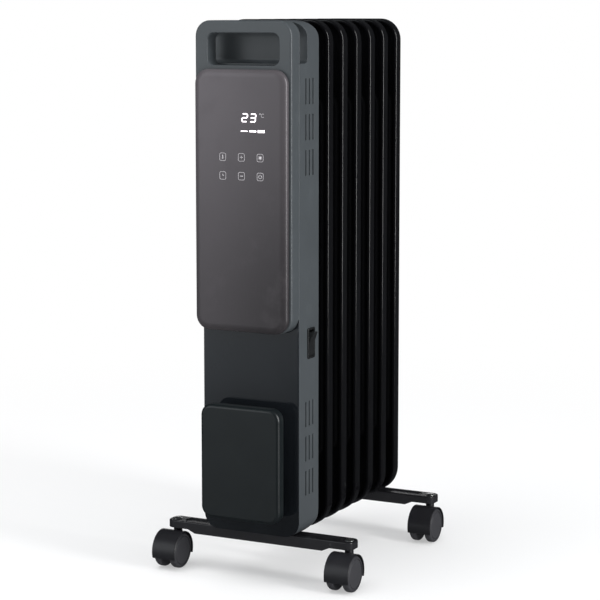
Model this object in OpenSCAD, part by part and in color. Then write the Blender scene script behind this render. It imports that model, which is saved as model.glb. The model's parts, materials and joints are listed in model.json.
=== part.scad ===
// Oil filled radiator heater: seven pressed steel fins, a slim control housing with a
// handle at the front, and two cross brackets on twin-wheel casters.
// Front faces -Y, right is +X, up is +Z. The origin is on the floor under the middle.

/* [Overall] */
// Height of the housing top above the floor
housing_top = 619; // [515:1:745]
// Width of the control housing
housing_w = 117; // [97:1:150]
// Depth of the rear shell behind the front plate
shell_depth = 48; // [40:1:60]
// Gap between the shell bottom and the brackets
housing_lift = 1.8; // [0.3:0.1:4]
// Wall of the plastic shells
wall = 2.2; // [1.6:0.1:3]
// Seam between neighbouring shells
seam = 0.2; // [0.1:0.1:0.5]

/* [Radiator] */
// Number of fins
fin_count = 7; // [7:1:7]
// How far the fins stand in from the housing sides
fin_inset = 3; // [3:0.5:12]
// Distance from one fin to the next
fin_pitch = 37.2; // [31:0.1:45]
// Depth of the folded rim round each fin
fin_band = 13; // [9:0.5:15.5]
// Sheet thickness of the folded rim
rim_wall = 1.2; // [1:0.1:2]
// Thickness of the two welded sheets
web_t = 1.2; // [1:0.1:2]
// Distance between the oil channels of a fin
channel_step = 26.4; // [22:0.1:27]
// Height of the fin top above the housing top
fin_rise = 1; // [0:0.5:10]
// Distance of the fin bottoms below the bracket tops
fin_drop = 7.2; // [4:0.1:14]
// Corner radius at the fin tops
fin_r_top = 25; // [25:1:32]
// Corner radius at the fin bottoms
fin_r_bottom = 32; // [32:1:40]
// Outer radius of the oil headers
header_r = 17; // [14:0.5:19]
// Wall of the oil headers
header_wall = 2; // [1.5:0.1:3]
// Height of the lower header above the fin bottoms
header_low = 50; // [44:1:60]
// Distance of the upper header below the fin tops
header_high = 56; // [48:1:70]
// Radius of the tubular heating elements
element_r = 3.5; // [3:0.1:4]

/* [Handle and control panel] */
// How far the control housing stands out from the front plate
control_reach = 15.5; // [12:0.5:22]
// Height of the lower edge of the control housing above the floor
control_bottom = 283; // [240:1:340]
// Corner radius of the control housing
control_r = 17; // [12:1:22]
// Width of the housing beside the hand hole
hand_side = 15; // [12:0.5:20]
// Height of the hand hole
hand_h = 34.5; // [28:0.5:40]
// Corner radius of the hand hole
hand_r = 8; // [5:0.5:12]
// Thickness of the bar over the hand hole
grip_h = 13.5; // [11:0.5:18]
// Clear finger depth behind the handle
hand_gap = 18; // [16:0.5:20]
// Thickness of the cover behind the handle
handle_back_t = 1.8; // [1.5:0.1:2.5]
// Inset of the fascia from the housing sides
fascia_inset = 2.5; // [0.5:0.5:8]
// Thickness of the fascia
fascia_t = 7.5; // [6:0.5:9]
// Corner radius of the fascia
fascia_r = 16; // [10:1:20]
// Shadow gap behind the fascia
fascia_gap = 1; // [0.6:0.1:2]
// Distance of the fascia top below the hand hole
fascia_drop = 4; // [3:0.5:10]

/* [Cord wrap] */
// Inset of the cord wrap flange from the housing sides
reel_inset = 10; // [5:0.5:14]
// Height of the cord wrap flange
reel_h = 127.5; // [106:0.5:153]
// Height of its lower edge above the housing bottom
reel_lift = 19; // [14:1:26]
// How far the flange front stands out from the front plate
reel_reach = 27; // [26:0.5:34]
// Depth of the space for the cord
reel_gap = 14.5; // [14:0.5:17]
// Depth of the inner flange shell
reel_inner_t = 3.8; // [3:0.1:5]
// Inset of the neck from the flange edge
neck_inset = 14.5; // [12:0.5:18]
// Radius of the cord outlet
outlet_r = 4.3; // [3.5:0.1:4.6]

/* [Switch] */
// Height of the rocker frame
bezel_h = 34; // [34:1:40]
// Width of the rocker frame
bezel_w = 17; // [16:1:20]
// How far the rocker frame stands proud
bezel_proud = 1.5; // [1:0.1:2.5]
// Height of the rocker frame centre above the floor
switch_z = 268; // [225:1:324]
// Distance of the switch centre behind the front plate
switch_back = 30.5; // [24:0.5:31]
// Half of the rocker travel in degrees
rocker_tilt = 10; // [8:1:11]

/* [Base and casters] */
// Gap between the top of a caster and its bracket
caster_gap = 1; // [0.5:0.5:6]
// Length of the brackets
bracket_l = 232; // [194:1:280]
// Clearance between a bracket and the fins beside it
bracket_side = 0.6; // [0.4:0.1:2]
// Depth of the bracket ends
bracket_end_h = 8.5; // [7:0.5:10]
// Depth of the bracket middles
bracket_mid_h = 12.5; // [10:0.5:15]
// Steel thickness of the brackets
bracket_t = 1.6; // [1.2:0.1:2]
// Distance of the front bracket behind the front plate
front_bracket_y = 26; // [25:0.5:28]
// Distance from a caster stem to the bracket end
stem_end = 8; // [7:0.5:10]
// Wheel radius
wheel_r = 20; // [16.5:0.5:24]
// Width of the caster hood
hood_w = 29; // [24:0.5:32]
// Width of the body between the wheels
caster_core = 10; // [10:0.5:12]
// Distance the wheels trail their stem
trail = 13; // [11:0.5:14]
// Radius of the steel stem
stem_r = 3.5; // [3:0.1:3.6]
// Radius of the wheel axle
axle_r = 2.5; // [2:0.1:3]
// Radial clearance of the turning parts
running = 0.05; // [0.02:0.01:0.08]

/* [Hidden] */

$fn = 64;
eps = 0.01;

// How far a cut runs past the face it opens
cut = 1;

// Casters, from the floor up
hood_gap = 0.7;
hood_t = 1.3;
hood_r = wheel_r + hood_gap + hood_t;
hood_skirt = wheel_r - 7;
boss_rise = 1.7;
boss_top = wheel_r + hood_r + boss_rise;
boss_foot = 14;
collar_r = stem_r + 1.4;
collar_gap = 0.1;
stem_foot = 6;
socket_gap = 0.2;
wheel_face = 0.5;
wheel_side = 0.4;
axle_cap = 1.2;
axle_half = hood_w / 2 - wheel_face - axle_cap;
groove_out = 3;
groove_w = 1.2;
groove_deep = 0.8;

// Brackets
bracket_end_z = boss_top + caster_gap;
bracket_top = bracket_end_z + bracket_end_h;
bracket_mid_z = bracket_top - bracket_mid_h;
bracket_w = fin_pitch - fin_band - 2 * bracket_side;
bracket_r = 8;
stem_x = bracket_l / 2 - stem_end;
deep_inset = 28;
deep_half = stem_x - deep_inset;
ramp = 9;
seat_r = stem_r + 2.9;
seat_foot = 0.5;
rivet_r = 5.2;
rivet_top_r = 3.4;
rivet_h = 1.4;

// Front to back: the first fin sits just inside the rear edge of the shell
shell_front = wall + seam;
shell_back = shell_front + shell_depth;
fin_first = shell_back + 0.1;
fin_last = fin_first + (fin_count - 1) * fin_pitch;
fascia_front = -control_reach - fascia_gap - fascia_t;
front_y = min(-reel_reach, fascia_front);
depth_all = fin_last + fin_band / 2 - front_y;
plate_y = -front_y - depth_all / 2;
rear_bracket_y = fin_last - fin_pitch / 2;
function at(y) = plate_y + y;
function fin_y(i) = fin_first + (i - 1) * fin_pitch;

// Widths
fin_w = housing_w - 2 * fin_inset;
hand_w = housing_w - 2 * hand_side;
fascia_w = housing_w - 2 * fascia_inset;
reel_w = housing_w - 2 * reel_inset;

// Heights
housing_bottom = bracket_top + housing_lift;
fin_bottom = bracket_top - fin_drop;
fin_top = housing_top + fin_rise;
low_z = fin_bottom + header_low;
high_z = fin_top - header_high;
hand_top = housing_top - grip_h;
hand_bottom = hand_top - hand_h;
slot_back = shell_front + handle_back_t + hand_gap;
slot_step = 2;
slot_floor = hand_bottom + slot_step;
slot_front = shell_front + handle_back_t + seam;
slot_roof = housing_top - wall;
slot_r_top = 17;
slot_r_low = 5;
fascia_top = hand_bottom - fascia_drop;

// Pressed shape of a fin
boss_r = header_r + 7;
boss_inset = 0.4;
channel_r = fin_band / 2 - 1.2;
channel_wall = 0.8;
oil_r = channel_r - channel_wall;
cross_r = oil_r - 0.6;

// Rear corners of the shell in side view
shell_r_side = 24;

// Vent slots in the sides: two groups of three rows
vent_w = 2.8;
vent_h = 28;
vent_step_y = 8.6;
vent_step_z = 38.5;
vent_mid_y = shell_front + 25.2;
vent_top_z = housing_top - 76;
vent_low_z = housing_bottom + 58;

// Cord wrap
reel_bottom = housing_bottom + reel_lift;
reel_mid = reel_bottom + reel_h / 2;
reel_r = 13;
neck_w = reel_w - 2 * neck_inset;
neck_h = reel_h - 2 * neck_inset;
neck_r = 10;
neck_bottom = reel_mid - neck_h / 2;
gland_wall = 1.6;
gland_lip = 0.8;
gland_outside = 3;
gland_inside = 2;

// Header, filler plug and heating elements
header_recess = 1;
stub_front = 14;
header_end = fin_last + web_t / 2 + 2;
filler_r = 4.5;
plug_head_r = 8;
flange_t = 5;
flange_r = header_r + 3;
element_z = 6.5;
element_x = 6.5;
element_end = fin_last - 20;
terminal_r = 1.6;
terminal_l = 4;
bolt_r = 2.5;
bolt_x = header_r + bolt_r;
bolt_over = 0.5;
bolt_cut = 7;
nut_r = 5;
nut_h = 5.5;
wing_l = 22;
wing_t = 2;
wing_h = 4;

// Heat shield
shield_y = shell_back - 11.4;
shield_t = 0.8;
shield_lift = 18;
shield_drop = 20;
shield_hole = 3;

// Boards
board_y = 12;
board_t = 1.6;
board_w = 84;
board_h = 150;
board_z = (control_bottom + slot_floor) / 2;
post_r = 3;
post_x = board_w / 2 - 5;
post_z = board_h / 2 - 5;
screw_r = 1.5;
screw_head_r = 2.8;
screw_head_t = 1.8;
board_screw_l = 8;
relay_w = 13;
relay_d = 16;
relay_h = 29;
relay_x = 20;
relay_low = 55;
core_w = 30;
core_d = 18;
core_h = 24;
winding_w = 18;
winding_d = 21;
winding_h = 16;
transformer_low = 12;

// Display and touch keys behind the fascia
panel_t = 2.5;
fascia_back = fascia_front + panel_t;
fascia_step = 2.5;
module_z = fascia_top - 57;
module_x = 16;
display_w = 34;
display_h = 26;
key_x = 2.4;
key_step_x = 22.7;
key_step_z = 20.2;
key_top_z = module_z - 36.8;
touch_r = 4;
touch_wall = 0.8;
touch_l = 2.2;
led_board_y = fascia_back + touch_l;
led_board_t = 1.2;
led_board_w = 76;
led_board_low = 30;
led_board_high = 20;
window_w = 48;
window_edge = 2;

// Devices clipped to the heat shield
terminal_z = control_bottom - 47;
terminal_w = 36;
terminal_d = 14;
terminal_h = 16;
terminal_step = 11;
terminal_hole = 2;
terminal_deep = 8;
cutout_x = -28;
cutout_z = low_z + 80;
cutout_rim_r = 8.5;
cutout_rim_t = 4;
cutout_r = 6;
cutout_d = 11;
tab_x = 3.5;
tab_w = 0.8;
tab_l = 7;
tab_h = 6;
sensor_x = 30;
sensor_z = low_z + 46;
sensor_w = 8;
sensor_h = 16;
sensor_d = 3;
stalk_r = 1.2;
stalk_l = 13;
bead_r = 2.4;

// Tilt switch
tilt_x = 30;
tilt_y = shield_y - 17;
tilt_z = low_z + 108;
cage_w = 24;
cage_back = 13;
cage_low = 30;
cage_high = 6;
arm_t = 3;
arm_front = 4;
arm_low = 5;
swing_r = 1.5;
strap_w = 4;
strap_t = 2;
bob_drop = 20;
bob_r = 5.5;
bob_w = 14;

// Rocker switch
bezel_r = 2;
bezel_lip = 1.4;
bezel_in = 7;
bezel_cut = 1.2;
rocker_half = 13;
rocker_w = bezel_w - 4.8;
rocker_play = 0.2;
rocker_rise = 5.6;
rocker_mid = 3.3;
rocker_heel = 4;
rocker_heel_z = 6;
pivot_x = housing_w / 2 + bezel_proud - rocker_mid;
pocket_half = 14.5;
pin_r = 1.5;
pin_over = 0.6;

// Housing screws, clear of the rocker frame
lug_y = 24;
lug_t = 3;
lug_x = housing_w / 2 - 9;
lug_r = 4;
thread_l = 12;
housing_screw_l = 13;
tab_half = 5;
lug_z = [housing_bottom + 36,
    min(control_bottom - 54, switch_z - bezel_h / 2 - 24),
    max(control_bottom + 32, switch_z + bezel_h / 2 + 28),
    fascia_top - 22];
neck_screw_l = 11;
shield_w = housing_w - 2 * (bezel_in + 1);

// ---------- shared shapes ----------

// Rounded rectangle about the origin
module rounded(w, h, r) {
    square([w - 2 * r, h], center = true);
    square([w, h - 2 * r], center = true);
    for (x = [-1, 1], y = [-1, 1])
        translate([x * (w / 2 - r), y * (h / 2 - r)]) circle(r);
}

// Rounded slab seen from the front, from depth y0 to y1 and height z0 to z1
module slab(w, z0, z1, y0, y1, r) {
    translate([0, at(y1), (z0 + z1) / 2]) rotate([90, 0, 0])
        linear_extrude(y1 - y0) rounded(w, z1 - z0, r);
}

// Plain box about x, from depth y0 to y1 and height z0 to z1
module block(x, w, y0, y1, z0, z1) {
    translate([x - w / 2, at(y0), z0]) cube([w, y1 - y0, z1 - z0]);
}

// Round bar along Y
module bar_y(x, z, r, y0, y1) {
    translate([x, at(y1), z]) rotate([90, 0, 0]) cylinder(r = r, h = y1 - y0);
}

// Round bar along X
module bar_x(y, z, r, x0, x1) {
    translate([x0, at(y), z]) rotate([0, 90, 0]) cylinder(r = r, h = x1 - x0);
}

// ---------- radiator ----------

// Fin outline, drawn in by an inset
module fin_outline(inset) {
    w = fin_w / 2 - inset;
    rt = fin_r_top - inset;
    rb = fin_r_bottom - inset;
    z0 = fin_bottom + inset;
    z1 = fin_top - inset;
    translate([-w, z0 + rb]) square([2 * w, z1 - z0 - rb - rt]);
    translate([-w + rb, z0]) square([2 * (w - rb), rb + eps]);
    translate([-w + rt, z1 - rt - eps]) square([2 * (w - rt), rt + eps]);
    for (s = [-1, 1]) {
        translate([s * (w - rb), z0 + rb]) circle(rb);
        translate([s * (w - rt), z1 - rt]) circle(rt);
    }
}

module fin_layer(y, t, inset) {
    translate([0, at(y + t / 2), 0]) rotate([90, 0, 0]) linear_extrude(t) fin_outline(inset);
}

// One pressed fin: folded rim, welded web, three oil channels and two header bosses
module fin(i) {
    y = fin_y(i);
    color("#101114") difference() {
        union() {
            difference() {
                fin_layer(y, fin_band, 0);
                fin_layer(y, fin_band + 2 * cut, rim_wall);
            }
            fin_layer(y, web_t, rim_wall / 2);
            for (x = [-1, 0, 1])
                translate([x * channel_step, at(y), low_z]) cylinder(r = channel_r, h = high_z - low_z);
            for (z = [low_z, high_z])
                bar_y(0, z, boss_r, y - channel_r + boss_inset, y + channel_r - boss_inset);
        }
        for (x = [-1, 0, 1])
            translate([x * channel_step, at(y), low_z]) cylinder(r = oil_r, h = high_z - low_z);
        for (z = [low_z, high_z]) {
            bar_x(y, z, cross_r, -channel_step, channel_step);
            bar_y(0, z, header_r, y - fin_band, y + fin_band);
        }
    }
}

module upper_header() {
    y0 = fin_first - fin_band / 2 + header_recess;
    color("#101114") difference() {
        bar_y(0, high_z, header_r, y0, header_end);
        bar_y(0, high_z, header_r - header_wall, y0 + header_wall, header_end - header_wall);
        bar_y(0, high_z, filler_r, header_end - header_wall - cut, header_end + cut);
    }
}

module lower_header() {
    color("#101114") difference() {
        bar_y(0, low_z, header_r, stub_front, header_end);
        bar_y(0, low_z, header_r - header_wall, stub_front - cut, header_end - header_wall);
    }
}

module filler_plug() {
    plug_out = fin_last + fin_band / 2 - header_end;
    color("silver") {
        bar_y(0, high_z, filler_r, header_end - header_wall, header_end);
        translate([0, at(header_end + plug_out), high_z]) rotate([90, 0, 0])
            cylinder(r = plug_head_r, h = plug_out, $fn = 6);
    }
}

module element_flange() {
    color("silver") difference() {
        bar_y(0, low_z, flange_r, stub_front - flange_t, stub_front);
        for (x = [-1, 1], z = [-1, 1])
            bar_y(x * element_x, low_z + z * element_z, element_r,
                stub_front - flange_t - cut, stub_front + cut);
    }
}

// Two hairpin elements inside the lower header
module heating_elements() {
    color("#8a8378") for (x = [-1, 1]) {
        for (z = [-1, 1]) {
            bar_y(x * element_x, low_z + z * element_z, element_r, stub_front - flange_t, element_end);
            bar_y(x * element_x, low_z + z * element_z, terminal_r,
                stub_front - flange_t - terminal_l, stub_front - flange_t);
        }
        translate([x * element_x, at(element_end), low_z]) rotate([90, 0, 90])
            rotate([0, 0, -90]) rotate_extrude(angle = 180) translate([element_z, 0]) circle(element_r);
    }
}

// ---------- housing ----------

module control_housing() {
    y0 = -control_reach;
    post_y = y0 + wall - eps;
    color("#17181a") difference() {
        union() {
            difference() {
                slab(housing_w, control_bottom, housing_top, y0, wall, control_r);
                slab(housing_w - 2 * wall, control_bottom + wall, housing_top - wall,
                    y0 + wall, wall + cut, control_r - wall);
            }
            slab(hand_w + 2 * wall, hand_bottom - wall, hand_top + wall, y0 + eps, wall, hand_r + wall);
            for (s = [-1, 1], z = [lug_z[2], lug_z[3]])
                bar_y(s * lug_x, z, lug_r, post_y, lug_y);
        }
        slab(hand_w, hand_bottom, hand_top, y0 - cut, wall + cut, hand_r);
        for (s = [-1, 1], z = [lug_z[2], lug_z[3]])
            bar_y(s * lug_x, z, screw_r, lug_y - thread_l, lug_y + cut);
        block(0, window_w, y0 - cut, y0 + wall + cut,
            key_top_z - led_board_low - window_edge, module_z + led_board_high + window_edge);
    }
}

// Ring that closes the hollow handle from behind
module handle_back() {
    y0 = wall + seam;
    color("#17181a") intersection() {
        difference() {
            slab(housing_w, control_bottom, housing_top, y0, y0 + handle_back_t, control_r);
            slab(hand_w, hand_bottom, hand_top, y0 - cut, y0 + handle_back_t + cut, hand_r);
        }
        block(0, housing_w + 2 * cut, y0 - cut, y0 + handle_back_t + cut,
            slot_floor + seam, housing_top + cut);
    }
}

// Touch panel: a shallow tray that stands off the housing by the shadow gap
module fascia() {
    y1 = fascia_front + fascia_t;
    tray_w = fascia_w - 2 * fascia_step;
    tray_z0 = control_bottom + fascia_step;
    tray_z1 = fascia_top - fascia_step;
    tray_r = fascia_r - fascia_step;
    color("#3a3739") difference() {
        union() {
            slab(fascia_w, control_bottom, fascia_top, fascia_front, y1, fascia_r);
            slab(tray_w, tray_z0, tray_z1, y1 - eps, y1 + fascia_gap, tray_r);
        }
        slab(tray_w - 2 * wall, tray_z0 + wall, tray_z1 - wall,
            fascia_back, y1 + fascia_gap + cut, tray_r - wall);
    }
}

// Lower front, whose top edge follows the rounded end of the control housing
module front_plate() {
    color("#0b0c0d") difference() {
        union() {
            intersection() {
                slab(housing_w, housing_bottom, housing_top, 0, wall, control_r);
                block(0, housing_w + 2 * cut, -cut, wall + cut,
                    housing_bottom - cut, control_bottom + control_r);
            }
            for (s = [-1, 1], z = [lug_z[0], lug_z[1]])
                bar_y(s * lug_x, z, lug_r, wall - eps, lug_y);
        }
        slab(housing_w + 2 * seam, control_bottom - seam, housing_top + seam,
            -cut, wall + cut, control_r + seam);
        for (s = [-1, 1], z = [lug_z[0], lug_z[1]])
            bar_y(s * lug_x, z, screw_r, lug_y - thread_l, lug_y + cut);
        for (s = [-1, 1])
            bar_y(s * neck_w / 4, reel_mid, screw_r, -cut, wall + cut);
        bar_y(0, low_z, outlet_r, -cut, wall + cut);
    }
}

// Outline of the rear shell, closed at the top, bottom and sides
module shell_solid(inset) {
    y0 = shell_front;
    w = housing_w - 2 * inset;
    z0 = housing_bottom + inset;
    z1 = housing_top - inset;
    intersection() {
        slab(w, z0, z1, y0 - inset, shell_back + inset, control_r - inset);
        translate([-w / 2, 0, 0]) rotate([90, 0, 90]) linear_extrude(w) union() {
            translate([at(y0 - inset), housing_bottom])
                square([shell_depth - shell_r_side + inset, housing_top - housing_bottom]);
            translate([at(y0), housing_bottom + shell_r_side])
                square([shell_depth + inset, housing_top - housing_bottom - 2 * shell_r_side]);
            for (z = [housing_bottom + shell_r_side, housing_top - shell_r_side])
                translate([at(shell_back - shell_r_side), z]) circle(shell_r_side);
        }
    }
}

// Side view of the space behind the handle, grown by the wall round it
module slot_side(grow) {
    y1 = slot_back + grow;
    z0 = slot_floor - grow;
    z1 = slot_roof + grow;
    top_r = slot_r_top + grow;
    low_r = slot_r_low + grow;
    translate([-housing_w / 2 - cut, 0, 0]) rotate([90, 0, 90]) linear_extrude(housing_w + 2 * cut) union() {
        translate([at(slot_front - eps), z0 + low_r])
            square([y1 - slot_front + eps, z1 - z0 - low_r - top_r]);
        translate([at(slot_front - eps), z0])
            square([y1 - low_r - slot_front + eps, low_r + cut]);
        translate([at(slot_front - eps), z1 - top_r - cut])
            square([y1 - top_r - slot_front + eps, top_r + cut]);
        translate([at(y1 - low_r), z0 + low_r]) circle(low_r);
        translate([at(y1 - top_r), z1 - top_r]) circle(top_r);
    }
}

module vent_row(z) {
    for (j = [-1, 0, 1])
        block(0, housing_w + 2 * cut, vent_mid_y + j * vent_step_y - vent_w / 2,
            vent_mid_y + j * vent_step_y + vent_w / 2, z - vent_h / 2, z + vent_h / 2);
}

module rear_shell() {
    color("#1b1c1e") difference() {
        union() {
            difference() {
                shell_solid(0);
                slab(housing_w - 2 * wall, housing_bottom + wall, housing_top - wall,
                    shell_front - cut, shell_back + cut, control_r - wall);
            }
            intersection() {
                shell_solid(0);
                union() {
                    slot_side(wall);
                    block(0, housing_w, shell_front, slot_front, slot_floor - wall, slot_floor);
                }
            }
            for (s = [-1, 1], z = lug_z)
                block(s * (housing_w / 2 - wall - tab_half), 2 * tab_half + 1,
                    lug_y + seam, lug_y + seam + lug_t, z - tab_half, z + tab_half);
        }
        slot_side(0);
        block(0, housing_w + 2 * cut, shell_front - cut, slot_front, slot_floor, housing_top + cut);
        for (s = [-1, 1], z = lug_z)
            bar_y(s * lug_x, z, screw_r + seam, lug_y - cut, lug_y + lug_t + 2 * cut);
        for (k = [0 : 2]) {
            vent_row(vent_top_z - k * vent_step_z);
            vent_row(vent_low_z + k * vent_step_z);
        }
        block(housing_w / 2, 4 * bezel_in, switch_back - bezel_w / 2 + bezel_cut,
            switch_back + bezel_w / 2 - bezel_cut,
            switch_z - bezel_h / 2 + bezel_cut, switch_z + bezel_h / 2 - bezel_cut);
        block(0, 2 * (bolt_x + bolt_cut), front_bracket_y - bolt_cut, front_bracket_y + bolt_cut,
            housing_bottom - cut, housing_bottom + wall + cut);
    }
}

// Thin steel screen between the hot fins and the boards
module heat_shield() {
    color("silver") difference() {
        block(0, shield_w, shield_y, shield_y + shield_t,
            housing_bottom + shield_lift, housing_top - shield_drop);
        bar_y(0, low_z, header_r + shield_hole, shield_y - cut, shield_y + shield_t + cut);
        for (s = [-1, 1], z = [-1, 1])
            bar_y(s * post_x, board_z + z * post_z, screw_r, shield_y - cut, shield_y + shield_t + cut);
    }
}

// ---------- electronics ----------

module display_board() {
    color("darkgreen") block(0, led_board_w, led_board_y, led_board_y + led_board_t,
        key_top_z - led_board_low, module_z + led_board_high);
}

module display_module() {
    color("#222222") block(module_x, display_w, fascia_back, led_board_y,
        module_z - display_h / 2, module_z + display_h / 2);
}

module touch_springs() {
    color("silver") for (i = [-1, 0, 1], k = [0, 1]) {
        x = key_x + i * key_step_x;
        z = key_top_z - k * key_step_z;
        difference() {
            bar_y(x, z, touch_r, fascia_back, led_board_y);
            bar_y(x, z, touch_r - touch_wall, fascia_back - cut, led_board_y + cut);
        }
    }
}

module power_board() {
    color("darkgreen") difference() {
        block(0, board_w, board_y, board_y + board_t, board_z - board_h / 2, board_z + board_h / 2);
        for (s = [-1, 1], z = [-1, 1])
            bar_y(s * post_x, board_z + z * post_z, screw_r, board_y - cut, board_y + board_t + cut);
    }
}

module power_relays() {
    color("#1f3f7a") for (s = [-1, 1])
        block(s * relay_x, relay_w, board_y - relay_d, board_y,
            board_z - relay_low, board_z - relay_low + relay_h);
}

module transformer() {
    core_z = board_z + transformer_low;
    winding_z = core_z + (core_h - winding_h) / 2;
    color("#b8962e") {
        block(0, core_w, board_y - core_d, board_y, core_z, core_z + core_h);
        block(0, winding_w, board_y - winding_d, board_y, winding_z, winding_z + winding_h);
    }
}

module board_standoffs() {
    color("gainsboro") for (s = [-1, 1], z = [-1, 1]) difference() {
        bar_y(s * post_x, board_z + z * post_z, post_r, board_y + board_t, shield_y);
        bar_y(s * post_x, board_z + z * post_z, screw_r, board_y, board_y + board_screw_l + cut);
    }
}

module terminal_block() {
    y0 = shield_y - terminal_d;
    color("ivory") difference() {
        block(0, terminal_w, y0, shield_y, terminal_z - terminal_h / 2, terminal_z + terminal_h / 2);
        for (i = [-1, 0, 1])
            bar_y(i * terminal_step, terminal_z, terminal_hole, y0 - cut, y0 + terminal_deep);
    }
}

// Disc thermostat that opens if the radiator overheats
module thermal_cutout() {
    color("gray") {
        bar_y(cutout_x, cutout_z, cutout_rim_r, shield_y - cutout_rim_t, shield_y);
        bar_y(cutout_x, cutout_z, cutout_r, shield_y - cutout_d, shield_y - cutout_rim_t);
        for (s = [-1, 1])
            block(cutout_x + s * tab_x, tab_w, shield_y - cutout_d - tab_l, shield_y - cutout_d,
                cutout_z - tab_h / 2, cutout_z + tab_h / 2);
    }
}

// Bead thermistor on a stalk by the lower side vents
module air_sensor() {
    color("#2b2b2b") {
        block(sensor_x, sensor_w, shield_y - sensor_d, shield_y,
            sensor_z - sensor_h / 2, sensor_z + sensor_h / 2);
        bar_y(sensor_x, sensor_z, stalk_r, shield_y - sensor_d - stalk_l, shield_y - sensor_d);
        translate([sensor_x, at(shield_y - sensor_d - stalk_l - cut), sensor_z]) sphere(r = bead_r);
    }
}

// Tilt switch: a cage with a hinged weight that breaks the circuit if the heater falls
module tilt_switch_body() {
    color("white") difference() {
        union() {
            block(tilt_x, cage_w, tilt_y + cage_back, shield_y, tilt_z - cage_low, tilt_z + cage_high);
            for (s = [-1, 1])
                block(tilt_x + s * (cage_w - arm_t) / 2, arm_t,
                    tilt_y - arm_front, tilt_y + cage_back + eps,
                    tilt_z - arm_low, tilt_z + cage_high);
        }
        bar_x(tilt_y, tilt_z, swing_r + running, tilt_x - cage_w, tilt_x + cage_w);
    }
}

module tilt_pendulum() {
    color("silver") {
        bar_x(tilt_y, tilt_z, swing_r, tilt_x - cage_w / 2, tilt_x + cage_w / 2);
        block(tilt_x, strap_w, tilt_y - strap_t / 2, tilt_y + strap_t / 2,
            tilt_z - bob_drop + strap_t, tilt_z);
        bar_x(tilt_y, tilt_z - bob_drop, bob_r, tilt_x - bob_w / 2, tilt_x + bob_w / 2);
    }
}

// ---------- rocker switch ----------

module switch_bezel() {
    x0 = housing_w / 2;
    hole_half = rocker_w / 2 + rocker_play;
    color("#0b0c0d") difference() {
        union() {
            translate([x0, at(switch_back), switch_z]) rotate([90, 0, 90])
                linear_extrude(bezel_proud) rounded(bezel_w, bezel_h, bezel_r);
            block(x0 - bezel_in, 2 * (bezel_in + eps),
                switch_back - bezel_w / 2 + bezel_lip, switch_back + bezel_w / 2 - bezel_lip,
                switch_z - bezel_h / 2 + bezel_lip, switch_z + bezel_h / 2 - bezel_lip);
        }
        block(x0 - 1, 20, switch_back - hole_half, switch_back + hole_half,
            switch_z - pocket_half, switch_z + pocket_half);
        bar_y(pivot_x, switch_z, pin_r + running,
            switch_back - hole_half - pin_over, switch_back + hole_half + pin_over);
    }
}

// Rocker with its lower half pressed in
module power_rocker() {
    color("#141416") translate([pivot_x, at(switch_back), switch_z]) rotate([0, rocker_tilt, 0]) {
        rotate([90, 0, 0]) linear_extrude(rocker_w, center = true)
            polygon([[rocker_rise, rocker_half], [rocker_mid, 0], [rocker_rise, -rocker_half],
                [0, -rocker_half], [-rocker_heel, -rocker_heel_z], [-rocker_heel, rocker_heel_z],
                [0, rocker_half]]);
        rotate([90, 0, 0]) cylinder(r = pin_r, h = rocker_w + 2 * pin_over, center = true);
    }
}

// ---------- cord wrap ----------

module cord_neck() {
    color("#17181a") difference() {
        union() {
            difference() {
                slab(neck_w, neck_bottom, neck_bottom + neck_h, -reel_gap, 0, neck_r);
                slab(neck_w - 2 * wall, neck_bottom + wall, neck_bottom + neck_h - wall,
                    -reel_gap - cut, cut, neck_r - wall);
            }
            for (s = [-1, 1]) {
                bar_y(s * neck_w / 4, reel_mid, lug_r, -reel_gap, 0);
                block(s * 3 * neck_w / 8, neck_w / 4 - wall, -reel_gap, 0,
                    reel_mid - wall / 2, reel_mid + wall / 2);
            }
        }
        for (s = [-1, 1])
            bar_y(s * neck_w / 4, reel_mid, screw_r, wall - neck_screw_l - cut, cut);
        translate([0, at(-reel_gap / 2), neck_bottom - cut])
            cylinder(r = outlet_r + gland_wall, h = wall + 2 * cut);
    }
}

module cord_flange_inner() {
    y1 = -reel_gap;
    y0 = y1 - reel_inner_t;
    color("#131416") difference() {
        slab(reel_w, reel_bottom, reel_bottom + reel_h, y0, y1, reel_r);
        slab(reel_w - 2 * wall, reel_bottom + wall, reel_bottom + reel_h - wall,
            y0 - cut, y1 - wall, reel_r - wall);
    }
}

module cord_flange_cover() {
    y1 = -reel_gap - reel_inner_t - seam;
    color("#131416") difference() {
        slab(reel_w, reel_bottom, reel_bottom + reel_h, -reel_reach, y1, reel_r);
        slab(reel_w - 2 * wall, reel_bottom + wall, reel_bottom + reel_h - wall,
            -reel_reach + wall, y1 + cut, reel_r - wall);
    }
}

// Bush that the mains cord leaves through, in the underside of the neck
module cord_gland() {
    bush_r = outlet_r + gland_wall;
    color("#222222") translate([0, at(-reel_gap / 2), neck_bottom]) difference() {
        union() {
            translate([0, 0, -gland_outside]) cylinder(r = bush_r + gland_lip, h = gland_outside);
            cylinder(r = bush_r, h = wall);
            translate([0, 0, wall]) cylinder(r = bush_r + gland_lip, h = gland_inside);
        }
        translate([0, 0, -gland_outside - cut])
            cylinder(r = outlet_r, h = gland_outside + wall + gland_inside + 2 * cut);
    }
}

// ---------- base ----------

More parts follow.
